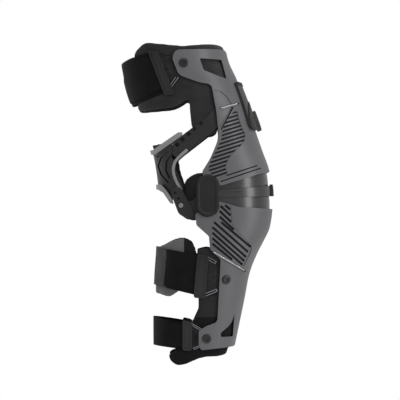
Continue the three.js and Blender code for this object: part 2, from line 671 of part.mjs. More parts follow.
const centreCup = together([bowl, outerBand, web, block]).subtract(bothHoles).subtract(mirrored(bothHoles));
add("centre_knee_cup", centreCup, cupGrey);

// Pads behind the hinge
const condyleShares = [
  [-0.24, 0.1], [-0.12, 0.155], [0.08, 0.155], [0.14, 0.08], [0.14, -0.08], [0.08, -0.15], [-0.12, -0.15],
  [-0.24, -0.1],
];
const condyleShape = rounded(inThigh(condyleShares), cornerRadius);
const condyleFillet = 1.6;
// The crown is the same outline drawn in, over the full thickness.
const crownShare = 0.93;
const crownShape = new THREE.Shape(
  condyleShape.getPoints(3).slice(0, -1).map((p) => p.clone().multiplyScalar(crownShare)),
);
addPair("condyle_pad",
  leftSlab(condyleShape, padInner + condyleFillet, padOuter - condyleFillet / 2, 3)
    .add(leftSlab(crownShape, padInner, padOuter, 1)),
  foam);

// Thigh liner, a wing either side
const thighLinerShares = [
  [-0.731, 0.949], [-0.627, 1.015], [-0.246, 0.99], [0.073, 1.01], [0.2, 0.99], [0.235, 0.872],
  [0.19, 0.7], [0.13, 0.5], [0.092, 0.41], [-0.062, 0.383], [-0.165, 0.472], [-0.185, 0.651],
  [-0.246, 0.615], [-0.338, 0.585], [-0.692, 0.559],
];
const shinLinerShares = [
  [0.16, -0.98], [0.15, -1.035], [-0.138, -1.103], [-0.277, -1.133], [-0.385, -1.067], [-0.277, -1.026],
  [-0.092, -0.769], [-0.092, -0.615], [-0.2, -0.59], [-0.285, -0.49], [-0.154, -0.37], [0, -0.35],
  [0.062, -0.385], [0.131, -0.44], [0.2, -0.615],
];
const linerFull = shellInner - clearance;
let thighLiner = wrapped(rounded(inThigh(thighLinerShares), cornerRadius), linerInner, linerFull);
let shinLiner = wrapped(rounded(inShin(shinLinerShares), cornerRadius / 2), linerInner, linerFull);

// Straps, each a loop round the back, held by a buckle and a tab on either side
const softCorner = cornerRadius / 3;
const thighStrapShares = [
  [-0.96, 0.83], [-0.86, 0.885], [-0.765, 0.913], [-0.562, 0.944], [-0.392, 0.692], [-0.765, 0.595], [-0.96, 0.6],
];
const calfStrapShares = [
  [-0.62, -0.33], [-0.479, -0.347], [-0.06, -0.4], [-0.1, -0.665], [-0.531, -0.597], [-0.62, -0.59],
];
const shinStrapShares = [
  [-0.64, -0.81], [-0.577, -0.81], [-0.223, -0.85], [-0.223, -1.026], [-0.577, -1], [-0.64, -1],
];
const thighTabShares = [[-0.535, 0.94], [-0.2, 0.9], [-0.19, 0.84], [-0.27, 0.79], [-0.375, 0.7]];
const calfTabShares = [[-0.04, -0.42], [0.13, -0.47], [0.15, -0.56], [0.1, -0.66], [-0.07, -0.66]];
const shinTabShares = [[-0.2, -0.87], [0.02, -0.9], [0.04, -0.955], [0.01, -1], [-0.2, -1.02]];
const thighBuckleShares = [[-0.6, 0.962], [-0.49, 0.95], [-0.33, 0.67], [-0.43, 0.665]];
const calfBuckleShares = [[-0.1, -0.385], [0.01, -0.4], [-0.02, -0.685], [-0.14, -0.68]];
const shinBuckleShares = [[-0.25, -0.83], [-0.155, -0.845], [-0.155, -1.035], [-0.25, -1.035]];
const strapCorners = {
  thigh_strap: inThigh(thighStrapShares),
  calf_strap: inShin(calfStrapShares),
  shin_strap: inShin(shinStrapShares),
};
const tabCorners = {
  thigh_tab: inThigh(thighTabShares),
  calf_tab: inShin(calfTabShares),
  shin_tab: inShin(shinTabShares),
};
const buckleCorners = {
  thigh_buckle: inThigh(thighBuckleShares),
  calf_buckle: inShin(calfBuckleShares),
  shin_buckle: inShin(shinBuckleShares),
};
const frameBar = 2.6; // the buckle's own bars, seen from the side
const buckleWall = 2.6;
const buckleInner = bandOuter + clearance;
const round = (corners, inner, outer, radius = softCorner) =>
  wrapped(rounded(corners, radius), inner, outer, { both: true });
const slotAt = (corners, outer = shellOuter) =>
  wrapped(rounded(grown(corners, 2 * clearance), softCorner), bandInner - clearance, outer);
for (const [name, corners] of Object.entries(strapCorners))
  add(name, round(corners, bandInner, bandOuter), webbing);
for (const name of ["thigh", "calf", "shin"]) {
  const tab = wrapped(rounded(tabCorners[name + "_tab"], softCorner), bandInner, bandOuter)
    .subtract(slotAt(strapCorners[name + "_strap"], shellOuter));
  addPair(name + "_tab", tab, webbing);
  const corners = buckleCorners[name + "_buckle"];
  const windowCut = bothSides(new THREE.Shape(grown(corners, -frameBar)), 1);
  const barShape = new THREE.Shape(grown(corners, -frameBar / 2));
  const bar = wrapped(barShape, buckleInner, buckleInner + buckleWall / 2, { segments: 1 });
  const ring = wrapped(rounded(corners, softCorner), buckleInner, buckleInner + buckleWall, { segments: 1 })
    .subtract(windowCut);
  addPair(name + "_buckle", ring.add(bar), steel);
}
thighLiner = thighLiner.subtract(slotAt(strapCorners.thigh_strap)).subtract(slotAt(tabCorners.thigh_tab));
for (const corners of [strapCorners.calf_strap, strapCorners.shin_strap, tabCorners.calf_tab, tabCorners.shin_tab])
  shinLiner = shinLiner.subtract(slotAt(corners));

// Calf pad inside the calf strap
const calfPadCornersShares = [
  [-0.62, -0.29], [-0.45, -0.27], [-0.25, -0.268], [-0.12, -0.3], [-0.105, -0.42], [-0.13, -0.6],
  [-0.25, -0.66], [-0.4, -0.69], [-0.62, -0.68],
];
const calfPadCorners = inShin(calfPadCornersShares);
add("calf_pad", round(calfPadCorners, linerInner, linerOuter, cornerRadius), greyCloth);
shinLiner = shinLiner.subtract(
  wrapped(rounded(grown(calfPadCorners, 2 * clearance), cornerRadius), -overrun / 8, shellOuter, { both: true }),
);

// Rear guide behind the knee: a ladder arm on the thigh, one on the hinge, and a soft bridge
const holeSide = 4.6;
const upperArmShares = [
  [0.17, 0.56], [0.1, 0.6], [-0.015, 0.518], [-0.35, 0.35], [-0.35, 0.265], [-0.277, 0.25], [0.031, 0.41],
  [0.17, 0.5],
];
const upperArm = inThigh(upperArmShares);
const bridgeShares = [
  [-0.356, 0.35], [-0.46, 0.31], [-0.66, 0.29], [-0.66, 0.13], [-0.44, 0.115], [-0.335, 0.01], [-0.28, 0.045],
  [-0.22, -0.01], [-0.25, 0.075], [-0.315, 0.17], [-0.31, 0.215], [-0.356, 0.25],
];
const bridge = inThigh(bridgeShares);
const lowerArmShares = [
  [-0.34, -0.005], [-0.29, -0.12], [-0.19, -0.165], [-0.135, -0.14], [-0.15, -0.085], [-0.225, -0.018],
  [-0.285, 0.035],
];
const lowerArm = inShin(lowerArmShares);
const ladder = (from, to, count) => {
  const holes = [];
  for (let i = 0; i < count; i++) {
    const at = from.clone().lerp(to, i / Math.max(1, count - 1));
    const along = to.clone().sub(from).setLength(holeSide / 2);
    holes.push(leftSide(strip(at.clone().sub(along), at.clone().add(along), holeSide / 2), 1));
  }
  return together(holes);
};
const ladderShares = [[-0.065, 0.48], [-0.3, 0.335]];
const holeCount = 5;
const upperHoles = ladder(...inThigh(ladderShares), holeCount);
const upperArmWall = wrapped(rounded(upperArm, softCorner), bandInner, bandOuter);
addPair("guide_upper_arm", upperArmWall.subtract(upperHoles), blackPlastic);
thighLiner = thighLiner.subtract(slotAt(upperArm));
const bridgeSolid = wrapped(rounded(bridge, softCorner / 2), bandInner, bandOuter, { both: true });
add("rear_guide", bridgeSolid, blackPlastic);
// The arm's lower end lies on the hinge's lug, so it is a flat plate there and not wrapped.
const armInner = outerPlateOuter + clearance;
const armFlat = leftSlab(rounded(lowerArm, softCorner), armInner, armInner + bandThickness, 2);
addPair("guide_lower_arm", armFlat.subtract(screwHole), blackPlastic);
const screwTop = armInner + bandThickness + clearance;
addPair("guide_screw",
  leftSlab(circle(screwAt, screwShankRadius), outerPlateInner, screwTop, 3)
    .add(leftSlab(circle(screwAt, screwHeadRadius), screwTop, screwTop + screwHeadHeight, 4)), steel);
const guidePadShares = [
  [-0.66, 0.335], [-0.4, 0.35], [-0.29, 0.245], [-0.27, 0.16], [-0.2, 0.03], [-0.3, 0.02], [-0.45, 0.09],
  [-0.66, 0.09],
];
const guidePadShape = rounded(inThigh(guidePadShares), softCorner);
add("guide_pad", wrapped(guidePadShape, linerInner, linerOuter, { both: true }), foam);
const barWall = 2.4;
const upperBarShares = [[-0.66, 0.345], [-0.5, 0.36], [-0.3, 0.43], [-0.29, 0.395], [-0.49, 0.3], [-0.66, 0.28]];
const upperBar = inThigh(upperBarShares);
const lowerBarShares = [
  [-0.66, 0.1], [-0.5, 0.09], [-0.385, 0.02], [-0.35, -0.03], [-0.325, 0], [-0.38, 0.08], [-0.48, 0.155],
  [-0.66, 0.17],
];
const lowerBar = inThigh(lowerBarShares);
for (const [name, corners] of [["upper", upperBar], ["lower", lowerBar]]) {
  const shape = rounded(corners, softCorner / 2);
  add("guide_plate_" + name, wrapped(shape, buckleInner, buckleInner + barWall, { both: true }), guideGrey);
}
addPair("thigh_liner", thighLiner, foam);
addPair("shin_liner", shinLiner, foam);

// Tension cables, held along the shells
const cableSide = 1.8;
const cableInner = shellOuter + clearance;
const cable = (from, to) =>
  wrapped(strip(from, to, cableSide / 2), cableInner, cableInner + cableSide, { segments: 1 });
const thighCableShares = [[0.135, 0.578], [0.31, 0.612]];
const shinCableShares = [[0.06, -0.375], [0.38, -0.505]];
addPair("thigh_cable", cable(...inThigh(thighCableShares)), steel);
addPair("shin_cable", cable(...inShin(shinCableShares)), steel);

// Bolts
addPair("thigh_bolt", bolt(thighBolt.x, thighBolt.y), steel);
addPair("shin_bolt", bolt(shinBolt.x, shinBolt.y), steel);
addPair("foot_bolt", bolt(footBolt.x, footBolt.y), steel);

export default brace;
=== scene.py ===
# %% [markdown]
# A knee guard of the rigid kind, worn under off-road riding trousers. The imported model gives
# every solid in metres: +X is forward, +Z is up the leg, and the side that the camera sees is -Y.
# This notebook dresses it: moulded shells get a satin plastic, and every piece of foam, cloth
# and webbing is made again as a soft form over its solid.

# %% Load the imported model
import math

import bmesh
import bpy
from mathutils import Matrix, Vector


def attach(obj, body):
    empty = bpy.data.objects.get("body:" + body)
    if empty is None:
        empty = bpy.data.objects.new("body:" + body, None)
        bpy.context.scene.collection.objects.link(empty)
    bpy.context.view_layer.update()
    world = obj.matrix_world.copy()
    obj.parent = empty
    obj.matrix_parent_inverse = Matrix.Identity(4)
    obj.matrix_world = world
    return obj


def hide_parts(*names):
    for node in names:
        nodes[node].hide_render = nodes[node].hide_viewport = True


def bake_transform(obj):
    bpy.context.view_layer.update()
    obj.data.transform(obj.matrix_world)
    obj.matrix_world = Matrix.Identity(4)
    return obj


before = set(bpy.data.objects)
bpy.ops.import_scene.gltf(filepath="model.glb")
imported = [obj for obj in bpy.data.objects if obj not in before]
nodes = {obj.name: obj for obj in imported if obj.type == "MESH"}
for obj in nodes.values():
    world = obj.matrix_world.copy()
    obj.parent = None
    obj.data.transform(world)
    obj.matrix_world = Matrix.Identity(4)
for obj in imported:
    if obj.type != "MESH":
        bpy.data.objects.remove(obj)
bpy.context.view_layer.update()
print("nodes", len(nodes))


def linked(name, data):
    thing = bpy.data.objects.new(name, data)
    bpy.context.scene.collection.objects.link(thing)
    return thing


def paint(piece, look):
    piece.data.materials.clear()
    piece.data.materials.append(look)


def node_of(tree, kind, **values):
    node = tree.nodes.new("ShaderNode" + kind)
    for socket, value in values.items():
        node.inputs[socket.replace("_", " ")].default_value = value
    return node


# %% [markdown]
# A product photograph of this kind is taken from straight beside the object with a long lens,
# so the camera stands level, well back, and the field of view is narrow.

# %% Camera
PIXEL = 0.0013  # metres across one pixel of a 400 x 400 picture, at the near side of the guard
CAMERA_BACK = 4.0
NEAR_SIDE = 0.05
FRAME_WIDTH = 400 * PIXEL
ORIGIN_RIGHT = 7.5  # pixels from the picture's middle to the origin
ORIGIN_UP = 4.5
camera_data = bpy.data.cameras.new("camera")
camera_data.sensor_fit = "HORIZONTAL"
camera_data.sensor_width = 36
camera_data.lens = 36 * (CAMERA_BACK - NEAR_SIDE) / FRAME_WIDTH
camera = linked("camera", camera_data)
camera.location = (-ORIGIN_RIGHT * PIXEL, -CAMERA_BACK, -ORIGIN_UP * PIXEL)
camera.rotation_euler = (math.radians(90), 0, 0)
bpy.context.scene.camera = camera
bpy.context.scene.view_settings.view_transform = "Standard"
print("lens", round(camera_data.lens, 1), "mm")

# %% [markdown]
# The studio is plain: a white world that the camera sees at full strength and everything else a
# little weaker, a tall soft lamp level with the knee at the front, which draws the upright
# highlights on the knee cups, a wide one from above and a weak one from behind.

# %% Studio
world = bpy.data.worlds.new("studio")
bpy.context.scene.world = world
world.use_nodes = True
sky = world.node_tree
sky.nodes.clear()
WHITE = (1, 1, 1, 1)
FILL_STRENGTH = 0.6
pick = node_of(sky, "MixShader")
sky.links.new(node_of(sky, "LightPath").outputs["Is Camera Ray"], pick.inputs["Fac"])
sky.links.new(node_of(sky, "Background", Color=WHITE, Strength=FILL_STRENGTH).outputs[0], pick.inputs[1])
sky.links.new(node_of(sky, "Background", Color=WHITE, Strength=1.0).outputs[0], pick.inputs[2])
sky.links.new(pick.outputs[0], node_of(sky, "OutputWorld").inputs["Surface"])


def soft_lamp(name, spot, target, width, height, watts):
    data = bpy.data.lights.new(name, "AREA")
    data.shape = "RECTANGLE"
    data.size = width
    data.size_y = height
    data.energy = watts
    lamp = linked(name, data)
    lamp.location = spot
    lamp.rotation_euler = (Vector(target) - Vector(spot)).to_track_quat("-Z", "Y").to_euler()


soft_lamp("upright_lamp", (1.35, -0.78, 0.05), (0, 0, 0), 0.5, 1.5, 13)
soft_lamp("top_lamp", (0.1, -1.2, 1.3), (0, 0, 0), 1.0, 1.0, 11)
soft_lamp("back_lamp", (-1.0, 0.7, 0.9), (0, 0, 0), 1.0, 1.0, 8)

# %% [markdown]
# The floor is a pale sheet well under the guard, which stands on nothing here because a leg holds
# it. Rays from the camera, from gloss and through glass see it nearly white, so it meets the
# backdrop without an edge and still keeps a soft shadow.

# %% Floor
FLOOR_HEIGHT = -0.42
FLOOR_GLOW = 0.75


def figure(made, operation, first, second):
    node = node_of(made, "Math")
    node.operation = operation
    for socket, value in zip(node.inputs, (first, second)):
        if isinstance(value, (int, float)):
            socket.default_value = value
        else:
            made.links.new(value, socket)
    return node.outputs[0]


floor_mesh = bmesh.new()
bmesh.ops.create_grid(floor_mesh, x_segments=1, y_segments=1, size=1.2)
bmesh.ops.translate(floor_mesh, verts=floor_mesh.verts, vec=(0, 0, FLOOR_HEIGHT))
floor_data = bpy.data.meshes.new("floor")
floor_mesh.to_mesh(floor_data)
floor_mesh.free()
floor = linked("floor", floor_data)
floor_look = bpy.data.materials.new("pale_floor")
floor_look.use_nodes = True
floor_tree = floor_look.node_tree
floor_shader = floor_tree.nodes["Principled BSDF"]
floor_shader.inputs["Base Color"].default_value = (0.9, 0.9, 0.9, 1)
floor_shader.inputs["Roughness"].default_value = 0.9
glow = node_of(floor_tree, "Emission", Color=WHITE)
paths = node_of(floor_tree, "LightPath")
either = figure(floor_tree, "MAXIMUM", paths.outputs["Is Camera Ray"], paths.outputs["Is Glossy Ray"])
every = figure(floor_tree, "MAXIMUM", either, paths.outputs["Is Transmission Ray"])
mixed = node_of(floor_tree, "MixShader")
floor_link = floor_tree.links.new
floor_link(figure(floor_tree, "MULTIPLY", every, FLOOR_GLOW), mixed.inputs["Fac"])
floor_link(floor_shader.outputs[0], mixed.inputs[1])
floor_link(glow.outputs[0], mixed.inputs[2])
floor_link(mixed.outputs[0], floor_tree.nodes["Material Output"].inputs["Surface"])
paint(floor, floor_look)


# %% [markdown]
# Every finish here is built from the same few layers: a base colour that varies a little at a
# large scale, a grain that breaks up the gloss, and a fine bump. Woven finishes add a plain weave,
# the product of two waves that run along and across the piece's own UV map, which is laid out in
# metres. Constants are set straight on the shader, because the exported model loses a linked one.

# %% Finish helper
def wave(made, direction, pitch, vector):
    node = node_of(made, "TexWave", Scale=2 * math.pi / 20 / pitch, Distortion=0.4, Detail=1)
    node.wave_type = "BANDS"
    node.bands_direction = direction
    node.wave_profile = "SIN"
    made.links.new(vector, node.inputs["Vector"])
    return node.outputs["Fac"]


def ramp(made, factor, dark, bright, low=0.0, high=1.0):
    node = node_of(made, "ValToRGB")
    for element, position, color in zip(node.color_ramp.elements, (low, high), (dark, bright)):
        element.position = position
        element.color = (*color, 1)
    made.links.new(factor, node.inputs["Fac"])
    return node.outputs["Color"]


def finish(name, color, roughness, *, metal=0.0, spread=0.12, blotch=25.0, grain=900.0, bump=0.1,
           depth=0.0002, sheen=0.0, coat=0.0, weave=0.0, split=None, shine=0.5):
    look = bpy.data.materials.new(name)
    look.use_nodes = True
    made = look.node_tree
    shader = made.nodes["Principled BSDF"]
    settings = {"Metallic": metal, "Sheen Weight": sheen, "Sheen Roughness": 0.6, "Coat Weight": coat,
                "Coat Roughness": 0.18, "Specular IOR Level": shine}
    for socket, value in settings.items():
        shader.inputs[socket].default_value = value
    link = made.links.new
    where = node_of(made, "TexCoord")
    large = node_of(made, "TexNoise", Scale=blotch, Detail=4)
    fine = node_of(made, "TexNoise", Scale=grain, Detail=3)
    gloss = node_of(made, "MapRange", To_Min=max(0.02, roughness - 0.06), To_Max=min(1.0, roughness + 0.06))
    rise = node_of(made, "Bump", Strength=bump, Distance=depth)
    link(where.outputs["Object"], large.inputs["Vector"])
    link(where.outputs["Object"], fine.inputs["Vector"])
    link(fine.outputs["Fac"], gloss.inputs["Value"])
    link(gloss.outputs["Result"], shader.inputs["Roughness"])
    height = fine.outputs["Fac"]
    surface = ramp(made, large.outputs["Fac"], [c * (1 - spread) for c in color],
                   [c * (1 + spread) for c in color], 0.3, 0.7)
    if split:
        axis, edge, other = split
        spot = node_of(made, "SeparateXYZ")
        link(where.outputs["Object"], spot.inputs["Vector"])
        past = figure(made, "GREATER_THAN", spot.outputs[axis], edge)
        blend = node_of(made, "Mix")
        blend.data_type = "RGBA"
        blend.inputs[7].default_value = (*other, 1)
        link(past, blend.inputs[0])
        link(surface, blend.inputs[6])
        surface = blend.outputs[2]
    if weave:
        warp = figure(made, "SUBTRACT", wave(made, "X", weave, where.outputs["UV"]), 0.5)
        weft = figure(made, "SUBTRACT", wave(made, "Y", weave, where.outputs["UV"]), 0.5)
        plain = figure(made, "MULTIPLY_ADD", figure(made, "MULTIPLY", warp, weft), 2.0)
        plain.node.inputs[2].default_value = 0.5
        height = figure(made, "ADD", figure(made, "MULTIPLY", height, 0.35), plain)
        shade = node_of(made, "Mix")
        shade.data_type = "RGBA"
        shade.blend_type = "MULTIPLY"
        shade.inputs[0].default_value = 0.7
        link(surface, shade.inputs[6])
        link(ramp(made, plain, (0.45, 0.45, 0.45), (1, 1, 1)), shade.inputs[7])
        surface = shade.outputs[2]
    link(surface, shader.inputs["Base Color"])
    link(height, rise.inputs["Height"])
    link(rise.outputs["Normal"], shader.inputs["Normal"])
    return look


BLACK = (0.0042, 0.0042, 0.0046)
shell_plastic = finish("shell_plastic", (0.083, 0.083, 0.088), 0.44, spread=0.06, grain=1400, bump=0.25,
                       shine=0.4)
# Painted shade: the floors of grooves, slots and holes get this near-black finish in place of the shade
# inside them.
groove_painted_shade = finish("groove_painted_shade", (0.012, 0.012, 0.013), 0.7, spread=0.1, grain=1400, bump=0.2,
                        shine=0.2)
# Painted reflection: the cups' base colour is far darker than the shells' grey and stands in for a dark
# reflection on their sides. The coat and the gloss are real.
cup_painted_dark_reflection = finish("cup_painted_dark_reflection", (0.017, 0.017, 0.019), 0.33, spread=0.05, grain=1400, coat=0.3)
black_plastic = finish("black_plastic", (0.0075, 0.0075, 0.0078), 0.5, spread=0.2, grain=1600, bump=0.35,
                       shine=0.3)
guide_black = finish("guide_black", (0.011, 0.011, 0.0115), 0.42, spread=0.2, grain=1500, bump=0.3,
                     shine=0.35)
guide_grey = finish("guide_grey", (0.2, 0.2, 0.2), 0.42, spread=0.08, grain=1200, bump=0.2)
black_steel = finish("black_steel", (0.0085, 0.0085, 0.009), 0.36, spread=0.15, grain=2200, shine=0.4)
wire_steel = finish("wire_steel", (0.26, 0.26, 0.27), 0.34, metal=1.0, spread=0.1, grain=2200)
bright_steel = finish("bright_steel", (0.46, 0.46, 0.48), 0.26, metal=1.0, spread=0.1, grain=2200)
satin_alloy = finish("satin_alloy", (0.5, 0.5, 0.52), 0.36, metal=1.0, spread=0.08, grain=1800, bump=0.15)
reel_plastic = finish("reel_plastic", (0.036, 0.036, 0.032), 0.5, spread=0.1, grain=1500, bump=0.25,
                      shine=0.35)
CLOTH = dict(spread=0.25, blotch=60, grain=1500, bump=0.6, depth=0.0003, weave=0.0011, shine=0.15)
WOVEN = dict(grain=1300, bump=0.8, depth=0.0004)
dark_cloth = finish("dark_cloth", (0.019, 0.0175, 0.0175), 0.95, sheen=0.1, **CLOTH)
foot_cloth = finish("foot_cloth", BLACK, 0.95, sheen=0.04, split=("Z", -0.158, (0.021, 0.0195, 0.0195)),
                    **CLOTH)
neoprene = finish("neoprene", BLACK, 0.9, spread=0.3, blotch=80, grain=1900, bump=0.5, sheen=0.03, shine=0.15)
webbing = finish("black_webbing", BLACK, 0.85, spread=0.3, blotch=90, sheen=0.02, weave=0.0016, shine=0.12,
                 **WOVEN)
tab_webbing = finish("tab_webbing", (0.017, 0.0165, 0.018), 0.85, spread=0.5, blotch=160, sheen=0.05,
                     weave=0.0013, shine=0.15, **WOVEN)
calf_webbing = finish("calf_webbing", (0.05, 0.05, 0.053), 0.9, spread=0.25, blotch=120, sheen=0.05,
                      weave=0.0016, shine=0.12, split=("X", -0.0535, BLACK), **WOVEN)
# The calf pad is grey cloth. The black past x = -0.0305 at its front is a painted shadow of the calf strap.
grey_cloth = finish("grey_cloth", (0.125, 0.125, 0.131), 0.95, sheen=0.08, split=("X", -0.0305, BLACK),
                    **{**CLOTH, "spread": 0.15, "blotch": 70})

# %% [markdown]
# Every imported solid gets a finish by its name, so the few that no finer piece replaces, the gears
# and the plates of the hinge, look right too. The first key that the name holds is the one used.

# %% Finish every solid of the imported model
LOOKS = {
    "thigh_frame": shell_plastic, "shin_frame": shell_plastic, "knee_cup": cup_painted_dark_reflection,
    "gear": satin_alloy, "hinge_plate_outer": guide_black, "hinge_plate": satin_alloy,
    "hinge_cover": black_plastic, "buckle": black_steel, "bolt": black_steel, "screw": wire_steel,
    "cable": bright_steel, "tensioner": black_plastic, "reel": reel_plastic,
    "guide_plate": guide_grey, "guide_pad": dark_cloth, "guide": guide_black, "calf_strap": calf_webbing,
    "strap": webbing, "tab": tab_webbing, "liner": dark_cloth, "condyle": dark_cloth, "calf_pad": grey_cloth,
}
for name, piece in nodes.items():
    paint(piece, next((look for key, look in LOOKS.items() if key in name), satin_alloy))
print("finishes", len(bpy.data.materials))

# %% [markdown]
# The shells follow a leg. The leg is told by a short table: at each height, where its front and
# rear are and how wide it is. Between the heights a smooth curve fills in, and every section is
# a squared-off oval. A sleeve is then two of these walls, one inside the other.

# %% The leg that the shells follow
PART_LENGTH = 0.195  # of the thigh's part and of the shin's part, from the middle of the knee
LEG_REACH = 0.130
KNEE_HALF_WIDTH = 0.058
SECTION_POWER = 2.5
LINER_IN, LINER_OUT = 0.0003, 0.0031
BAND_IN, BAND_OUT = 0.0034, 0.0060
SHELL_IN, SHELL_OUT = 0.0063, 0.0093
LEG_STATIONS = [
    (1.1, 0.09, -0.85, 1.35), (0.91, 0.14, -0.83, 1.34), (0.777, 0.23, -0.795, 1.3),
    (0.637, 0.314, -0.735, 1.255), (0.47, 0.397, -0.615, 1.18), (0.303, 0.484, -0.515, 1.094),
    (0.157, 0.56, -0.47, 1.03), (0, 0.585, -0.445, 1), (-0.09, 0.587, -0.445, 1),
    (-0.23, 0.553, -0.465, 1), (-0.383, 0.438, -0.475, 1.01), (-0.517, 0.358, -0.49, 0.99),
    (-0.697, 0.304, -0.5, 0.906), (-1.01, 0.208, -0.5, 0.755), (-1.2, 0.16, -0.49, 0.7),
]


def height_of(share):
    return share * PART_LENGTH


LEG_ROWS = [(height_of(h), f * LEG_REACH, r * LEG_REACH, w * KNEE_HALF_WIDTH) for h, f, r, w in LEG_STATIONS]


def leg_at(z):
    upper = max(1, next((i for i, row in enumerate(LEG_ROWS) if row[0] <= z), len(LEG_ROWS) - 1))
    a, b = LEG_ROWS[upper], LEG_ROWS[upper - 1]
    before, after = LEG_ROWS[min(upper + 1, len(LEG_ROWS) - 1)], LEG_ROWS[max(upper - 2, 0)]
    span = b[0] - a[0]
    t = min(1, max(0, (z - a[0]) / span))

    def value(k):
        slope_a = (b[k] - before[k]) / ((b[0] - before[0]) or span)
        slope_b = (after[k] - a[k]) / ((after[0] - a[0]) or span)
        return ((2 * t**3 - 3 * t**2 + 1) * a[k] + (t**3 - 2 * t**2 + t) * span * slope_a
                + (3 * t**2 - 2 * t**3) * b[k] + (t**3 - t**2) * span * slope_b)

    front, rear, half = value(1), value(2), value(3)
    return (front + rear) / 2, (front - rear) / 2, half


def bulge(v):
    return math.copysign(abs(v) ** (2 / SECTION_POWER), v)


def leg_point(angle, z, offset):
    centre, depth, half = leg_at(z)
    along = (depth + offset) * bulge(math.cos(angle))
    return Vector((centre + along, (half + offset) * bulge(math.sin(angle)), z))


def leg_side(x, z, offset):
    centre, depth, half = leg_at(z)
    across = min(0.999, abs(x - centre) / (depth + offset))
    return (half + offset) * (1 - across**SECTION_POWER) ** (1 / SECTION_POWER)


def outward(x, z, offset):
    step = 0.001
    fore = Vector((2 * step, leg_side(x - step, z, offset) - leg_side(x + step, z, offset), 0))
    rise = Vector((0, leg_side(x, z - step, offset) - leg_side(x, z + step, offset), 2 * step))
    return fore.cross(rise).normalized()


print("leg at the knee", [round(v * 1000, 1) for v in leg_at(0)])


# %% [markdown]
# Small helpers turn a bmesh into an object, push an outline into a prism, spin a profile, and join
# or cut two closed solids with a Boolean whose result is kept as the mesh. A sleeve is a flat grid
# rolled up: one way round the leg, the other way up the outer wall and down the inner one.

# %% Solid helpers
MERGE = 1e-6  # points closer than this are one
SIDE = 0.13  # well outside the widest part of the guard
EDGE_ANGLE = math.radians(35)
ACROSS = Matrix.Rotation(math.radians(90), 4, "X")


def facing(way):
    return Vector((0, 0, 1)).rotation_difference(way).to_matrix().to_4x4()


def shade_smooth(data):
    data.polygons.foreach_set("use_smooth", [True] * len(data.polygons))


def bmesh_of(piece):
    bm = bmesh.new()
    bm.from_mesh(piece.data)
    return bm


def write_back(bm, piece):
    bm.to_mesh(piece.data)
    bm.free()


def piece_from(name, bm, smooth=True):
    piece = linked(name, bpy.data.meshes.new(name))
    write_back(bm, piece)
    if smooth:
        shade_smooth(piece.data)
    return piece


def evaluated(piece):
    bpy.context.view_layer.update()
    return bpy.data.meshes.new_from_object(piece.evaluated_get(bpy.context.evaluated_depsgraph_get()))


def keep_modifiers(piece):
    made = evaluated(piece)
    piece.modifiers.clear()
    old = piece.data
    piece.data = made
    bpy.data.meshes.remove(old)


def combine(piece, tool, operation):
    step = piece.modifiers.new(operation.lower(), "BOOLEAN")
    step.material_mode = "TRANSFER"
    step.operation = operation
    step.object = tool
    step.solver = "EXACT"
    step.use_self = operation != "INTERSECT"
    keep_modifiers(piece)
    bpy.data.objects.remove(tool)
    return piece


def sleeve(name, inner, outer, low, high, steps=144, rise=0.0035):
    count = max(2, round((high - low) / rise))
    stations = [(low + (high - low) * i / count, outer) for i in range(count + 1)]
    stations += [(z, inner) for z, _ in reversed(stations)]
    stations.append(stations[0])
    bm = bmesh.new()
    bmesh.ops.create_grid(bm, x_segments=steps, y_segments=len(stations) - 1, size=1)
    for vert in bm.verts:
        z, offset = stations[round((vert.co.y + 1) / 2 * (len(stations) - 1))]
        vert.co = leg_point((vert.co.x + 1) * math.pi, z, offset)
    bmesh.ops.remove_doubles(bm, verts=bm.verts, dist=MERGE)
    bmesh.ops.recalc_face_normals(bm, faces=bm.faces)
    return piece_from(name, bm)


def raise_faces(bm, way):
    made = bmesh.ops.extrude_face_region(bm, geom=list(bm.faces))
    far = [v for v in made["geom"] if isinstance(v, bmesh.types.BMVert)]
    bmesh.ops.translate(bm, verts=far, vec=way)
    bmesh.ops.recalc_face_normals(bm, faces=bm.faces)


def pushed(name, corners, way, radius, segments):
    bm = bmesh.new()
    bm.faces.new([bm.verts.new(corner) for corner in corners])
    if radius:
        bmesh.ops.bevel(bm, geom=list(bm.verts), offset=radius, affect="VERTICES", segments=segments,
                        profile=0.5, material=-1, clamp_overlap=True)
    raise_faces(bm, way)
    return piece_from(name, bm, smooth=False)


def prism(name, corners, left=-SIDE, right=SIDE, radius=0.009, segments=5):
    return pushed(name, [(x, left, z) for x, z in corners], (0, right - left, 0), radius, segments)


def front_prism(name, corners, radius=0.002):
    return pushed(name, [(0, y, z) for y, z in corners], (2 * SIDE, 0, 0), radius, 4)


def rod(name, at, radius, depth, segments):
    bm = bmesh.new()
    bmesh.ops.create_cone(bm, cap_ends=True, segments=segments, radius1=radius, radius2=radius, depth=depth,
                          matrix=at)
    return piece_from(name, bm, smooth=False)


def spun(name, profile, centre, axis, steps):
    bm = bmesh.new()
    verts = [bm.verts.new(point) for point in profile]
    edges = [bm.edges.new(pair) for pair in zip(verts, verts[1:])]
    bmesh.ops.spin(bm, geom=verts + edges, cent=centre, axis=axis, angle=2 * math.pi, steps=steps,
                   use_merge=True)
    bmesh.ops.remove_doubles(bm, verts=bm.verts, dist=MERGE)
    bmesh.ops.recalc_face_normals(bm, faces=bm.faces)
    return piece_from(name, bm)


def place(corners):
    return [(x * LEG_REACH, height_of(z)) for x, z in corners]


def grown(corners, by):
    area = sum(a[0] * b[1] - b[0] * a[1] for a, b in zip(corners, corners[1:] + corners[:1]))
    result = []
    for i, corner in enumerate(corners):
        here = Vector(corner)
        before = (here - Vector(corners[i - 1])).normalized()
        after = (Vector(corners[(i + 1) % len(corners)]) - here).normalized()
        way = Vector((before.y + after.y, -before.x - after.x)) * math.copysign(1, area)
        result.append(tuple(here + way.normalized() * by / max(0.4, way.length / 2)))
    return result


def joined(pieces, name="tools", smooth=False):
    bm = bmesh.new()
    for piece in pieces:
        bm.from_mesh(piece.data)
        bpy.data.objects.remove(piece)
    return piece_from(name, bm, smooth=smooth)


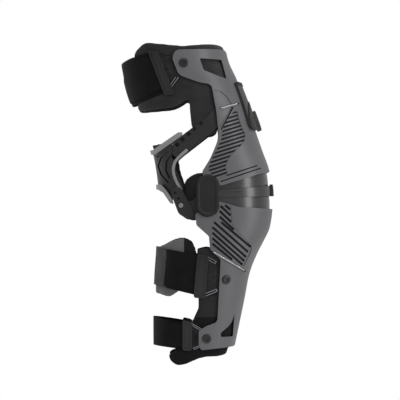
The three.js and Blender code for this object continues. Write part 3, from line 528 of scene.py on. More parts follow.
def other_side(piece, name):
    bm = bmesh_of(piece)
    bmesh.ops.scale(bm, verts=bm.verts, vec=(1, -1, 1))
    bmesh.ops.reverse_faces(bm, faces=bm.faces)
    looks = list(piece.data.materials)
    made = piece_from(name, bm)
    for look in looks:
        made.data.materials.append(look)
    return made


def leg_map(piece):
    layer = piece.data.uv_layers.get("leg_map") or piece.data.uv_layers.new(name="leg_map")
    spots = []
    for vert in piece.data.vertices:
        centre, depth, half = leg_at(vert.co.z)
        spots.append((math.atan2(vert.co.y / half, (centre - vert.co.x) / depth) * 0.065, vert.co.z))
    for loop in piece.data.loops:
        layer.data[loop.index].uv = spots[loop.vertex_index]


def finished(piece, look, bevel=0.0005, segments=2):
    if sum(slot is not None for slot in piece.data.materials) < 2:
        paint(piece, look)
    bm = bmesh_of(piece)
    bmesh.ops.remove_doubles(bm, verts=bm.verts, dist=MERGE)
    bmesh.ops.dissolve_degenerate(bm, edges=bm.edges, dist=MERGE)
    write_back(bm, piece)
    leg_map(piece)
    if bevel:
        edge = piece.modifiers.new("edge", "BEVEL")
        edge.width = bevel
        edge.segments = segments
        edge.limit_method = "ANGLE"
        edge.angle_limit = EDGE_ANGLE
        edge.harden_normals = False
    shade_smooth(piece.data)
    even = piece.modifiers.new("even_normals", "WEIGHTED_NORMAL")
    even.keep_sharp = True


def fit(piece, look, body, node=None, **how):
    finished(piece, look, **how)
    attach(piece, body)
    if node:
        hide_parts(node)
    print(piece.name, len(piece.data.polygons), "faces")


def fit_pair(left, stem, look, body, node=None, **how):
    for side, piece in (("left", left), ("right", other_side(left, f"{stem}_right"))):
        fit(piece, look, body, node and f"{node}_{side}", **how)


# %% [markdown]
# The thigh shell is one moulding: a broad collar with a window, a smooth raised front, and a
# sunk panel of parallel ribs on each side that lets it breathe and flex. Its outline is drawn
# from the side, pushed through the sleeve, and everything else is cut into it.

# %% Thigh shell
THIGH_OUTLINE = [
    (-0.315, 0.964), (0.188, 0.974), (0.208, 0.913), (0.254, 0.851), (0.3, 0.774), (0.469, 0.467),
    (0.638, 0.154), (0.538, 0.147), (0.119, 0.062), (-0.065, 0.147), (0.027, 0.246), (0.095, 0.354),
    (0.112, 0.4), (0.085, 0.569), (0.038, 0.736), (-0.085, 0.749), (-0.285, 0.797), (-0.354, 0.913),
]
THIGH_WINDOW = [(-0.078, 0.908), (0.139, 0.903), (0.19, 0.776), (0.08, 0.8), (-0.039, 0.831)]
AXLE = 0.0125
COVER_RADIUS = 0.0145
COVER_ROOM = 0.0007
CUP_ROOM = 0.0004


def strip(start, end, half):
    along = (Vector(end) - Vector(start)).normalized() * half
    side = Vector((-along.y, along.x))
    return [tuple(Vector(start) + side), tuple(Vector(start) - side),
            tuple(Vector(end) - side), tuple(Vector(end) + side)]


def sunk(piece, outlines, depth, low, high, radius=0.0004, top=SHELL_OUT, inside=None, look=None):
    tools = joined([prism("tool", corners, radius=radius, segments=2) for corners in outlines])
    if inside:
        combine(tools, prism("inside", inside, radius=0.003), "INTERSECT")
    skin = sleeve("skin", top - depth, top + 0.012, low, high, steps=96, rise=0.006)
    combine(skin, tools, "INTERSECT")
    if look:
        paint(skin, look)
    return combine(piece, skin, "DIFFERENCE")


def round_tool(z):
    return rod("round_tool", Matrix.Translation((0, 0, z)) @ ACROSS, COVER_RADIUS + COVER_ROOM, 0.3, 48)


def arch(name, ear, radius, height, steps=96, rows=14):
    flat, power = 0.020, 2.2
    outline = [(0, -ear, height)]
    for i in range(-rows, rows + 1):
        t = (i / rows) * math.pi / 2
        reach = 0 if abs(i) == rows else math.cos(t) ** (2 / power)
        across = math.copysign(abs(math.sin(t)) ** (2 / power), t) * ear
        outline.append((flat + (radius - flat) * reach, across, height))
    outline.append((0, ear, height))
    return spun(name, outline, (0, 0, height), (0, 1, 0), steps)


def strips(routes, half):
    return [strip(*place(route), half) for route in routes]


UPPER_EAR, LOWER_EAR, BAND_EAR = 0.0601, 0.0617, 0.0633
UPPER_CUP, LOWER_CUP, BAND_REACH = 0.0798, 0.0820, 0.0847


def frame_shell(name, low, high, outline, window, height, cup_reach):
    shell = sleeve(name, SHELL_IN, SHELL_OUT, low, high)
    paint(shell, shell_plastic)
    combine(shell, prism("outline", outline), "INTERSECT")
    combine(shell, window, "DIFFERENCE")
    combine(shell, round_tool(height), "DIFFERENCE")
    return combine(shell, arch("cup_room", LOWER_EAR + CUP_ROOM, cup_reach + CUP_ROOM, height), "DIFFERENCE")


thigh_shell = frame_shell("thigh_shell", 0.005, 0.1935, place(THIGH_OUTLINE),
                          prism("window", place(THIGH_WINDOW), radius=0.0018), AXLE, UPPER_CUP)

# %% [markdown]
# The panel of ribs is sunk a little below the smooth front, and deep narrow grooves between the
# ribs run up towards the front at a shallow angle. They are long strips that the panel's own
# outline trims. Two long grooves follow the lower edge.

# %% Ribs and grooves of the thigh shell
RIB_PANEL = place([
    (0.255, 0.56), (0.3, 0.565), (0.31, 0.517), (0.338, 0.463), (0.378, 0.41), (0.37, 0.363),
    (0.318, 0.317), (0.241, 0.273), (0.195, 0.22), (0.182, 0.187), (0.205, 0.135), (0.115, 0.11),
    (0.06, 0.12), (0.0, 0.17), (0.03, 0.235), (0.08, 0.3), (0.13, 0.37), (0.14, 0.43), (0.175, 0.495),
])
RIB_SLOPE = 0.2167
RIB_FOOT, RIB_HEAD, RIB_COUNT = 0.085, 0.52, 18
RIB_FEET = [RIB_FOOT + (RIB_HEAD - RIB_FOOT) * i / (RIB_COUNT - 1) for i in range(RIB_COUNT)]
ribs = strips([[(-0.1, foot - 0.1 * RIB_SLOPE), (0.5, foot + 0.5 * RIB_SLOPE)] for foot in RIB_FEET], 0.00125)
edge_grooves = strips([[(0.13, 0.092), (0.533, 0.183)], [(0.19, 0.132), (0.5, 0.2)]], 0.0008)
edge_grooves += strips([[(0.135, 0.437), (0.255, 0.588)]], 0.0009)
PANEL_DEPTH, RIB_DEPTH, GROOVE_DEPTH, STEP_DEPTH = 0.0006, 0.002, 0.0016, 0.0009
sunk(thigh_shell, [RIB_PANEL], PANEL_DEPTH, 0.01, 0.13, radius=0.002)
# The rib grooves and the two edge grooves get floors of painted shade.
sunk(thigh_shell, ribs, RIB_DEPTH, 0.01, 0.13, inside=grown(RIB_PANEL, -0.0008), look=groove_painted_shade)
sunk(thigh_shell, edge_grooves, GROOVE_DEPTH, 0.0, 0.13, look=groove_painted_shade)
FRONT_STEP = place([(0.055, 0.7), (0.127, 0.693), (0.19, 0.66), (0.235, 0.615), (0.25, 0.595), (0.13, 0.455),
                    (0.115, 0.455), (0.1, 0.56)])
sunk(thigh_shell, [FRONT_STEP], STEP_DEPTH, 0.08, 0.16, radius=0.0015)
fit(thigh_shell, shell_plastic, "thigh", "thigh_frame")

# %% [markdown]
# The shin shell is the longer moulding. Deep slots fan down from the hinge, a smooth shield
# stands proud in front of them, and a small window near the foot saves weight.

# %% Shin shell
SHIN_OUTLINE = [
    (0.665, -0.091), (0.627, -0.228), (0.512, -0.379), (0.435, -0.518), (0.277, -1.01), (-0.065, -1.031),
    (-0.088, -0.995), (-0.088, -0.903), (-0.019, -0.872), (0.085, -0.846), (0.1, -0.826), (0.131, -0.426),
    (0.027, -0.359), (0.015, -0.272), (-0.111, -0.197), (-0.123, -0.123), (0.119, -0.039), (0.3, -0.075),
]
SHIN_WINDOW = [(0.271, -0.79), (0.255, -0.944), (0.133, -0.944), (0.133, -0.916), (0.205, -0.877),
               (0.245, -0.844)]
shin_shell = frame_shell("shin_shell", -0.2045, -0.005, place(SHIN_OUTLINE),
                         prism("window", place(SHIN_WINDOW), radius=0.0015), -AXLE, LOWER_CUP)
SLOTS = [
    [(0.175, -0.063), (0.225, -0.095)], [(0.13, -0.07), (0.23, -0.133)], [(0.12, -0.103), (0.235, -0.176)],
    [(0.12, -0.14), (0.262, -0.228)], [(0.135, -0.177), (0.43, -0.343)], [(0.065, -0.177), (0.405, -0.377)],
    [(0.048, -0.21), (0.385, -0.41)], [(0.048, -0.247), (0.368, -0.437)], [(0.048, -0.283), (0.348, -0.461)],
    [(0.048, -0.32), (0.245, -0.427)],
]
SLOT_PANEL = place([
    (0.235, -0.075), (0.247, -0.19), (0.307, -0.24), (0.445, -0.34), (0.435, -0.375), (0.375, -0.462),
    (0.35, -0.472), (0.055, -0.347), (0.03, -0.32), (0.03, -0.2), (0.09, -0.14), (0.1, -0.065),
])
SLOT_PANEL_DEPTH, SLOT_DEPTH, CREASE_DEPTH = 0.0007, 0.0025, 0.0009
sunk(shin_shell, [SLOT_PANEL], SLOT_PANEL_DEPTH, -0.12, 0.0, radius=0.002)
# The slot floors get painted shade.
sunk(shin_shell, strips(SLOTS, 0.0015), SLOT_DEPTH, -0.12, 0.0, look=groove_painted_shade)
CREASES = [[(0.185, -0.09), (0.44, -0.121)], [(0.307, -0.517), (0.255, -0.64)],
           [(0.255, -0.64), (0.174, -0.775)]]
sunk(shin_shell, strips(CREASES, 0.0006), CREASE_DEPTH, -0.17, 0.0)
fit(shin_shell, shell_plastic, "shin", "shin_frame")

# %% [markdown]
# Over the kneecap, overlapping lames slide like those of a suit of armour. Each is a sector of
# one arched shell that is turned about its own hinge axle, so it keeps its distance from the next
# at every angle. The outermost is a narrow band with a small block at its middle.

# %% Knee cups
EAR_WALL, CUP_WALL = 0.0013, 0.0023


def lame(name, ear, radius, height, sector, ear_wall=EAR_WALL, wall=CUP_WALL):
    shell = arch(name, ear, radius, height)
    combine(shell, arch("room", ear - ear_wall, radius - wall, height), "DIFFERENCE")
    return combine(shell, prism("sector", sector, radius=0), "INTERSECT")


# The cups, the band and the bowl take the finish whose dark base colour is a painted reflection.
def fit_cup(piece, body, node=None):
    fit(piece, cup_painted_dark_reflection, body, node, bevel=0.0004)


UPPER_SECTOR = [(0, 0.0025), (0.13, 0.01225), (0.0966, 0.1035), (0, 0.0165)]
LOWER_SECTOR = [(0, -0.0165), (0.0966, -0.1035), (0.13, 0.00885), (0, -0.0009)]
BAND_SECTOR = [(-0.0065, -0.0027), (0.13, 0), (0.13, 0.0168), (-0.0065, 0.0051)]
fit_cup(lame("upper_cup", UPPER_EAR, UPPER_CUP, AXLE, UPPER_SECTOR), "upper_cup", "upper_knee_cup")
fit_cup(lame("lower_cup", LOWER_EAR, LOWER_CUP, -AXLE, LOWER_SECTOR), "lower_cup", "lower_knee_cup")
band = lame("front_band", BAND_EAR, BAND_REACH, 0, BAND_SECTOR, wall=0.0024)
groove = prism("groove", *strips([[(0.15, 0.0165), (0.35, 0.0265)]], 0.001), radius=0.0004, segments=2)
deep = arch("deep", BAND_EAR + 0.004, BAND_REACH + 0.004, 0)
combine(deep, arch("floor", BAND_EAR - 0.0009, BAND_REACH - 0.0009, 0), "DIFFERENCE")
combine(groove, deep, "INTERSECT")
combine(band, groove, "DIFFERENCE")
fit_cup(band, "hinge_carrier", "centre_knee_cup")
BOWL_SECTOR = [(0.039, -0.026), (0.13, -0.0468), (0.13, 0.0468), (0.039, 0.026)]
WEB_SECTOR = [(0.0403, 0.0028), (0.13, 0.00955), (0.13, 0.01155), (0.0403, 0.0048)]
fit_cup(lame("inner_bowl", 0.0508, 0.0754, 0, BOWL_SECTOR), "hinge_carrier")
fit_cup(lame("band_web", 0.063, 0.0844, 0, WEB_SECTOR, ear_wall=0.0125, wall=0.0096), "hinge_carrier")

block = arch("front_block", BAND_EAR + 0.0027, BAND_REACH + 0.0027, 0)
combine(block, arch("room", BAND_EAR - 0.0003, BAND_REACH - 0.0003, 0), "DIFFERENCE")
BLOCK_FACE = [(-0.0174, -0.001), (0.0174, -0.001), (0.015, 0.0146), (-0.015, 0.0146)]
combine(block, front_prism("edge", BLOCK_FACE), "INTERSECT")
fit(block, black_plastic, "hinge_carrier", bevel=0.0007, segments=3)


# %% [markdown]
# Each side's geared hinge hides under a long oval cap with a rolled edge and a shallow dish. It is
# a circle whose upper half is moved up by one axle's height and whose lower half goes down.

# %% Hinge covers
COVER_FOOT, COVER_TOP = 0.0636, 0.0705


def hinge_cap():
    bm = bmesh.new()
    foot = Matrix.Translation((0, -COVER_FOOT, 0)) @ ACROSS
    bmesh.ops.create_circle(bm, cap_ends=True, segments=64, radius=COVER_RADIUS, matrix=foot)
    for vert in bm.verts:
        vert.co.z += math.copysign(AXLE, vert.co.z)
    raise_faces(bm, (0, COVER_FOOT - COVER_TOP, 0))
    rim = [e for e in bm.edges if all(v.co.y < -COVER_FOOT - 0.005 for v in e.verts)]
    bmesh.ops.bevel(bm, geom=rim, offset=0.0014, affect="EDGES", segments=5, profile=0.5, material=-1)
    for thickness, depth in ((0.0022, 0.0), (0.0005, -0.0009), (0.0012, 0.0), (0.0004, 0.0004)):
        top = min(bm.faces, key=lambda f: (round(f.calc_center_median().y, 4) - f.calc_area() * 10))
        bmesh.ops.inset_region(bm, faces=[top], thickness=thickness, depth=depth, use_even_offset=True)
    return piece_from("hinge_cap_left", bm)


fit_pair(hinge_cap(), "hinge_cap", black_plastic, "hinge_carrier", "hinge_cover", bevel=0)


# %% [markdown]
# The bolts are dark, with a domed head and a six-sided socket. The head is a spun profile. It is
# turned to stand square on the shell wherever it sits. The guide's small pin uses it too.

# %% Bolts
def bolt_head(name, radius=0.006, height=0.0017):
    neck = radius * 0.43
    profile = [(0.0, -0.003), (neck, -0.003), (neck, -0.0007), (radius, -0.0007), (radius, height * 0.45),
               (radius * 0.97, height * 0.7), (radius * 0.88, height * 0.93), (radius * 0.75, height),
               (0.0, height)]
    head = spun(name, [(r, 0, h) for r, h in profile], (0, 0, 0), (0, 0, 1), 40)
    socket = rod("socket", Matrix.Translation((0, 0, height + 0.0006)), radius * 0.5, 0.004, 6)
    return combine(head, socket, "DIFFERENCE")


def seated(head, spot, way):
    head.data.transform(Matrix.Translation(spot) @ facing(way))
    return head


for stem, (x, z), body in (("thigh_bolt", (-0.238, 0.877), "thigh"), ("shin_bolt", (0.188, -0.559), "shin"),
                           ("foot_bolt", (-0.008, -0.954), "shin")):
    x, z = x * LEG_REACH, height_of(z)
    spot = Vector((x, -leg_side(x, z, SHELL_OUT), z))
    head = seated(bolt_head(f"{stem}_head_left"), spot, outward(x, z, SHELL_OUT))
    fit_pair(head, f"{stem}_head", black_steel, body, stem, bevel=0.0002)

# %% [markdown]
# The cable tensioner is a low housing let into the thigh shell's front, with a knurled dial. Its
# upper face is sunk inside a rolled lip. The dial turns on the axis that the model gives it.

# %% Tensioner housing and dial
TENSIONER = place([
    (0.277, 0.764), (0.42, 0.749), (0.6, 0.6), (0.7, 0.574), (0.7, 0.451), (0.46, 0.441), (0.4, 0.47),
    (0.315, 0.6), (0.25, 0.7),
])
HOUSING_TOP = SHELL_OUT + 0.0046
housing = sleeve("tension_housing", 0.0084, HOUSING_TOP, 0.078, 0.156)
paint(housing, black_plastic)
combine(housing, prism("outline", TENSIONER, radius=0.0045), "INTERSECT")
HOUSING_FACE = [(-0.0464, 0.156), (0.0464, 0.156), (0.0464, 0.078), (-0.0464, 0.078)]
combine(housing, front_prism("front", HOUSING_FACE, radius=0.008), "INTERSECT")
DIAL_AXIS = Vector((0.944687, 0, 0.327974))
DIAL_SPOT = Vector((0.063567, 0, 0.0975))
DIAL_PLACE = Matrix.Translation(DIAL_SPOT) @ facing(DIAL_AXIS)
DIAL_RADIUS, WELL_RADIUS = 0.0139, 0.0146
well = rod("well", DIAL_PLACE @ Matrix.Translation((0, 0, 0.0038)), WELL_RADIUS, 0.0124, 72)
combine(housing, well, "DIFFERENCE")
sunk(housing, [grown(TENSIONER, -0.0035)], 0.0012, 0.07, 0.16, radius=0.002, top=HOUSING_TOP,
     inside=place([(0.2, 0.8), (0.42, 0.8), (0.42, 0.4), (0.2, 0.4)]), look=reel_plastic)
fit(housing, black_plastic, "thigh", "tensioner_housing", bevel=0.0007, segments=3)

bm = bmesh.new()
bmesh.ops.create_circle(bm, cap_ends=True, segments=72, radius=DIAL_RADIUS)
for i, vert in enumerate(bm.verts):
    if i % 4 in (1, 2):
        vert.co *= 0.955
raise_faces(bm, (0, 0, 0.0056))
for thickness, depth in ((0.0018, 0.0006), (0.003, 0.0), (0.0006, -0.0008)):
    top = max(bm.faces, key=lambda f: f.calc_center_median().z + f.calc_area() * 10)
    bmesh.ops.inset_region(bm, faces=[top], thickness=thickness, depth=depth, use_even_offset=True)
bmesh.ops.transform(bm, verts=bm.verts, matrix=DIAL_PLACE @ Matrix.Translation((0, 0, -0.0021)))
fit(piece_from("tension_dial", bm), reel_plastic, "dial", "reel_dial", bevel=0.0003)

# %% [markdown]
# A steel cable lies along the side of each shell and ends in a dark sleeve. A twisted cable is
# three thin tubes that wind round one line. Each is a curve with a round bevel, turned into a mesh.

# %% Tension cables
STRANDS = 3


def tube(name, points, radius, sides=3):
    data = bpy.data.curves.new(name, "CURVE")
    data.dimensions = "3D"
    data.bevel_depth = radius
    data.bevel_resolution = sides
    data.use_fill_caps = True
    line = data.splines.new("POLY")
    line.points.add(len(points) - 1)
    for spot, point in zip(line.points, points):
        spot.co = (*point, 1)
    thing = linked(name, data)
    mesh = evaluated(thing)
    bpy.data.objects.remove(thing)
    return linked(name, mesh)


def twisted(name, start, end, lay=0.005, strand=0.0005):
    count = 90
    centre = [Vector(start).lerp(Vector(end), i / count) for i in range(count + 1)]
    line = [Vector((x, -leg_side(x, z, SHELL_OUT + 0.0013), z)) for x, z in centre]
    length = (line[-1] - line[0]).length
    pieces = []
    for k in range(STRANDS):
        points = []
        for i, spot in enumerate(line):
            ahead = (line[min(count, i + 1)] - line[max(0, i - 1)]).normalized()
            out_way = outward(spot.x, spot.z, SHELL_OUT)
            side = ahead.cross(out_way).normalized()
            turn = 2 * math.pi * (i / count * length / lay + k / STRANDS)
            points.append(spot + (out_way * math.cos(turn) + side * math.sin(turn)) * strand * 0.98)
        pieces.append(tube("strand", points, strand, sides=2))
    return joined(pieces, name, smooth=True), line


for stem, ends, body in (("thigh_cable", ((0.135, 0.578), (0.31, 0.612)), "thigh"),
                         ("shin_cable", ((0.06, -0.375), (0.38, -0.505)), "shin")):
    wire, line = twisted(f"{stem}_wire_left", *place(ends))
    way = (line[-1] - line[-6]).normalized()
    sleeve_points = [line[-1] - way * 0.0032, line[-1] - way * 0.0028, line[-1] - way * 0.0006, line[-1]]
    ferrule = tube(f"{stem}_sleeve_left", sleeve_points, 0.0013)
    fit_pair(wire, f"{stem}_wire", bright_steel, body, stem, bevel=0)
    fit_pair(ferrule, f"{stem}_sleeve", black_plastic, body, bevel=0.0002)

# %% [markdown]
# Soft pads start from their own outline on the leg's sleeve. The form is remeshed to even little
# cells and swollen by a short cloth simulation with a little air pressure and no gravity, which
# rounds the edges and crowns the faces as foam under cloth does. How far a point may move is
# capped, so that the pad stays in its own space, and one subdivision smooths the result. The
# right one is the left one mirrored, which saves half of the simulations.

# %% Padded forms
def merged_copy(node):
    bm = bmesh_of(nodes[node])
    bmesh.ops.remove_doubles(bm, verts=bm.verts, dist=MERGE)
    return piece_from(node + "_form", bm)


AIR_FRAMES = 14
AIR_PRESSURE = 4.0


def swell(pad, cell=0.0016, cap=0.0008):
    grid = pad.modifiers.new("even_cells", "REMESH")
    grid.mode = "VOXEL"
    grid.voxel_size = cell
    keep_modifiers(pad)
    bm = bmesh_of(pad)
    for _ in range(3):
        bmesh.ops.smooth_vert(bm, verts=bm.verts, factor=0.5, use_axis_x=True, use_axis_y=True,
                              use_axis_z=True)
    write_back(bm, pad)
    start = [v.co.copy() for v in pad.data.vertices]
    cloth = pad.modifiers.new("air", "CLOTH")
    cloth.settings.use_pressure = True
    cloth.settings.uniform_pressure_force = AIR_PRESSURE
    cloth.settings.effector_weights.gravity = 0
    cloth.settings.quality = 4
    cloth.point_cache.frame_start = 1
    cloth.point_cache.frame_end = AIR_FRAMES
    for step in range(1, AIR_FRAMES + 1):
        bpy.context.scene.frame_set(step)
    keep_modifiers(pad)
    bpy.context.scene.frame_set(1)
    for vert, rest in zip(pad.data.vertices, start):
        moved = vert.co - rest
        if moved.length > cap:
            vert.co = rest + moved.normalized() * cap
    return pad


def soft(pad, look, body, replaced, blended=None):
    paint(pad, look)
    fine = pad.modifiers.new("fine", "SUBSURF")
    fine.levels = fine.render_levels = 1
    if blended:
        keep_modifiers(pad)
    shade_smooth(pad.data)
    leg_map(pad)
    if blended:
        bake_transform(pad)
    else:
        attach(pad, body)
    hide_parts(replaced)
    print(pad.name, len(pad.data.vertices), "points")


THIGH_LINER = place([
    (-0.731, 0.949), (-0.627, 1.015), (-0.246, 0.99), (0.073, 1.01), (0.2, 0.99), (0.235, 0.872),
    (0.19, 0.7), (0.13, 0.5), (0.092, 0.41), (-0.062, 0.383), (-0.165, 0.472), (-0.185, 0.651),
    (-0.246, 0.615), (-0.338, 0.585), (-0.692, 0.559),
])
SHIN_LINER = place([
    (0.25, -0.985), (0.2, -1.03), (0.195, -1.06), (0.122, -1.075), (-0.005, -1.077), (-0.088, -1.09),
    (-0.229, -1.13), (-0.311, -1.135), (-0.375, -1.1), (-0.39, -1.06), (-0.277, -1.026), (-0.092, -0.769),
    (-0.092, -0.615), (-0.2, -0.59), (-0.285, -0.49), (-0.154, -0.37), (0, -0.343), (0.08, -0.368),
    (0.16, -0.42), (0.2, -0.615), (0.3, -0.75),
])
THIGH_STRAP = place([(-0.96, 0.83), (-0.86, 0.885), (-0.765, 0.913), (-0.562, 0.944), (-0.392, 0.692),
                     (-0.765, 0.595), (-0.96, 0.6)])
CALF_STRAP = place([(-0.62, -0.33), (-0.479, -0.347), (-0.06, -0.4), (-0.1, -0.665), (-0.531, -0.597),
                    (-0.62, -0.59)])
SHIN_STRAP = place([(-0.64, -0.81), (-0.577, -0.81), (-0.223, -0.85), (-0.223, -1.026), (-0.577, -1),
                    (-0.64, -1)])
THIGH_TAB = place([(-0.535, 0.94), (-0.2, 0.9), (-0.19, 0.84), (-0.27, 0.79), (-0.375, 0.7)])
CALF_TAB = place([(-0.04, -0.42), (0.13, -0.47), (0.15, -0.56), (0.1, -0.66), (-0.07, -0.66)])
SHIN_TAB = place([(-0.2, -0.87), (0.02, -0.9), (0.04, -0.955), (0.01, -1), (-0.2, -1.02)])
THIGH_BUCKLE = place([(-0.6, 0.962), (-0.49, 0.95), (-0.33, 0.67), (-0.43, 0.665)])
CALF_BUCKLE = place([(-0.1, -0.385), (0.01, -0.4), (-0.02, -0.685), (-0.14, -0.68)])
SHIN_BUCKLE = place([(-0.25, -0.83), (-0.155, -0.845), (-0.155, -1.035), (-0.25, -1.035)])
CALF_PAD = place([
    (-0.62, -0.365), (-0.45, -0.335), (-0.36, -0.3), (-0.286, -0.283), (-0.2, -0.287), (-0.15, -0.312),
    (-0.115, -0.355), (-0.105, -0.42), (-0.13, -0.6), (-0.24, -0.61), (-0.312, -0.652), (-0.382, -0.68),
    (-0.516, -0.655), (-0.62, -0.64),
])
UPPER_ARM = place([
    (0.17, 0.56), (0.1, 0.6), (-0.015, 0.518), (-0.35, 0.35), (-0.35, 0.265), (-0.277, 0.25), (0.031, 0.41),
    (0.17, 0.5),
])


def span_of(outline, more=0.004):
    heights = [z for _, z in outline]
    return min(heights) - more, max(heights) + more


def wrapped(name, outline, inner, outer, both=False, radius=0.003, rise=0.003):
    wall = sleeve(name, inner, outer, *span_of(outline), rise=rise)
    return combine(wall, prism("outline", outline, right=SIDE if both else 0.0, radius=radius), "INTERSECT")


LINER_TOP = 0.0058
PAST_LAYERS = 0.02  # outside every layer on the leg
STRAP_ROOM = 0.0009


def cleared(pad, outlines, inner=LINER_OUT):
    for outline in outlines:
        room = sleeve("room", inner, PAST_LAYERS, *span_of(outline, 0.006), steps=96, rise=0.006)
        combine(room, prism("outline", grown(outline, STRAP_ROOM), radius=0.003), "INTERSECT")
        combine(pad, room, "DIFFERENCE")
    return pad


def soft_pair(left, stem, look, body, node):
    right = other_side(left, f"{stem}_right")
    soft(left, look, body, f"{node}_left")
    soft(right, look, body, f"{node}_right")


thigh_liner = wrapped("thigh_padding_left", THIGH_LINER, LINER_IN + 0.0002, LINER_TOP, radius=0.009)
cleared(thigh_liner, [THIGH_STRAP, THIGH_TAB, UPPER_ARM])
soft_pair(swell(thigh_liner, cap=0.0007), "thigh_padding", dark_cloth, "thigh", "thigh_liner")

shin_liner = wrapped("shin_padding_left", SHIN_LINER, LINER_IN + 0.0002, LINER_TOP, radius=0.0045)
cleared(shin_liner, [CALF_STRAP, SHIN_STRAP, CALF_TAB, SHIN_TAB])
cleared(shin_liner, [CALF_PAD], inner=-0.003)
soft_pair(swell(shin_liner, cap=0.0007), "shin_padding", foot_cloth, "shin", "shin_liner")

condyle = swell(merged_copy("condyle_pad_left"), cell=0.0018, cap=0.0009)
condyle.name = "knee_side_pad_left"
soft_pair(condyle, "knee_side_pad", dark_cloth, "hinge_carrier", "condyle_pad")

calf = swell(wrapped("calf_padding", CALF_PAD, LINER_IN, LINER_OUT, both=True, radius=0.009), cap=0.0003)
# The calf pad's finish carries the painted strap shadow at its front.
soft(calf, grey_cloth, "shin", "calf_pad")

# %% [markdown]
# The straps are woven webbing, so they are modelled straight from their outlines: flat bands that
# follow the leg, with rounded edges. The weave comes from a map that runs round the leg one way
# and up it the other. Each strap folds back on itself at the buckle, which the second layer shows.

# %% Straps, tabs and buckles
STRAPS = (
    ("thigh", "thigh", THIGH_STRAP, webbing),
    ("calf", "shin", CALF_STRAP, calf_webbing),
    ("shin", "shin", SHIN_STRAP, webbing),
)
for stem, body, outline, look in STRAPS:
    strap = wrapped(f"{stem}_webbing", outline, BAND_IN, BAND_OUT, both=True)
    fit(strap, look, body, f"{stem}_strap", bevel=0.0008, segments=3)
RETURN_IN, RETURN_OUT = BAND_OUT + 0.0001, BAND_OUT + 0.0013
RETURNS = (
    ("thigh_return", "thigh", [(-0.84, 0.872), (-0.77, 0.89), (-0.575, 0.922), (-0.43, 0.712),
                               (-0.765, 0.62), (-0.85, 0.628)]),
    ("calf_return", "shin", [(-0.405, -0.366), (-0.1, -0.405), (-0.13, -0.65), (-0.44, -0.6)]),
    ("shin_return", "shin", [(-0.42, -0.84), (-0.24, -0.858), (-0.24, -1.012), (-0.42, -1.002)]),
)
for stem, body, outline in RETURNS:
    layer = wrapped(f"{stem}_left", place(outline), RETURN_IN, RETURN_OUT, radius=0.0015)
    fit_pair(layer, stem, webbing, body, bevel=0.0005)

RING_IN, RING_FLOOR, RING_OUT, RING_RIM = 0.0063, 0.0076, 0.0089, 0.0022
CLOSURES = (
    ("thigh", "thigh", THIGH_TAB, THIGH_STRAP, THIGH_BUCKLE),
    ("calf", "shin", CALF_TAB, CALF_STRAP, CALF_BUCKLE),
    ("shin", "shin", SHIN_TAB, SHIN_STRAP, SHIN_BUCKLE),
)
for stem, body, tab, strap, buckle in CLOSURES:
    cloth = cleared(wrapped(f"{stem}_tongue_left", tab, BAND_IN, BAND_OUT), [strap], inner=0.0)
    fit_pair(cloth, f"{stem}_tongue", tab_webbing, body, f"{stem}_tab", bevel=0.0007, segments=3)
    ring = wrapped(f"{stem}_ring_left", buckle, RING_IN, RING_OUT, rise=0.002)
    window = wrapped("window", grown(buckle, -RING_RIM), RING_FLOOR, PAST_LAYERS, radius=0.0008)
    combine(ring, window, "DIFFERENCE")
    fit_pair(ring, f"{stem}_ring", black_steel, body, f"{stem}_buckle", bevel=0.0006, segments=3)

# %% [markdown]
# Thin bent wires keep the tongues spread. Each is a tube along a few points on the leg's side.

# %% Wire loops
WIRE_RADIUS, WIRE_STEPS = 0.00055, 8
WIRE_HEIGHT = BAND_OUT + 0.0009
WIRES = (
    ("thigh", "thigh", ((-0.29, 0.78), (-0.37, 0.708), (-0.385, 0.715), (-0.31, 0.79))),
    ("calf_top", "shin", ((-0.02, -0.4), (0.085, -0.437), (0.075, -0.452), (-0.03, -0.415))),
    ("calf_foot", "shin", ((-0.05, -0.66), (0.09, -0.622), (0.095, -0.638), (-0.045, -0.676))),
    ("shin_top", "shin", ((-0.16, -0.85), (-0.06, -0.89), (-0.065, -0.9), (-0.165, -0.862))),
    ("shin_foot", "shin", ((-0.15, -1.02), (-0.06, -0.993), (-0.06, -1.004), (-0.15, -1.031))),
)
for stem, body, route in WIRES:
    route = place(route)
    points = []
    for a, b in zip(route, route[1:]):
        for i in range(WIRE_STEPS):
            x, z = Vector(a).lerp(Vector(b), i / WIRE_STEPS)
            points.append(Vector((x, -leg_side(x, z, WIRE_HEIGHT), z)))
    wire = tube(f"{stem}_wire_loop_left", points, WIRE_RADIUS, sides=2)
    fit_pair(wire, f"{stem}_wire_loop", wire_steel, body, bevel=0)

# %% [markdown]
# Behind the knee, a flexible guide joins the thigh to the hinge. It bends when the knee does, so
# its pieces ride on neither body. Their meshes are made final: the modifiers are kept and the
# transforms baked in. The ladder arms at its ends are rigid.

# %% Rear guide
BAR_IN, BAR_OUT = 0.0063, 0.0087
CHANNEL_DEPTH, HOLE_DEPTH = 0.0014, 0.0019
GUIDE_START, GUIDE_END = (-0.062, 0, 0.062), (-0.04, 0, 0.004)
BRIDGE = place([
    (-0.356, 0.35), (-0.46, 0.31), (-0.66, 0.29), (-0.66, 0.055), (-0.475, 0.055), (-0.425, 0.024),
    (-0.368, -0.034), (-0.335, -0.02), (-0.28, 0.045), (-0.22, -0.01),
    (-0.25, 0.075), (-0.315, 0.17), (-0.31, 0.215), (-0.356, 0.25),
])
CHANNELS = [
    [(-0.405, 0.3), (-0.51, 0.257)],
    [(-0.385, 0.293), (-0.465, 0.25), (-0.495, 0.197), (-0.465, 0.14), (-0.39, 0.085)],
    [(-0.36, 0.27), (-0.41, 0.223), (-0.415, 0.165), (-0.375, 0.112)],
]
HOLES = [(-0.068, 0.479), (-0.135, 0.443), (-0.189, 0.409), (-0.247, 0.372), (-0.301, 0.338)]


def blended(piece, look, node=None, bevel=0.0006):
    finished(piece, look, bevel=bevel)
    keep_modifiers(piece)
    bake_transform(piece)
    if node:
        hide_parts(node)
    print(piece.name, len(piece.data.polygons), "faces")


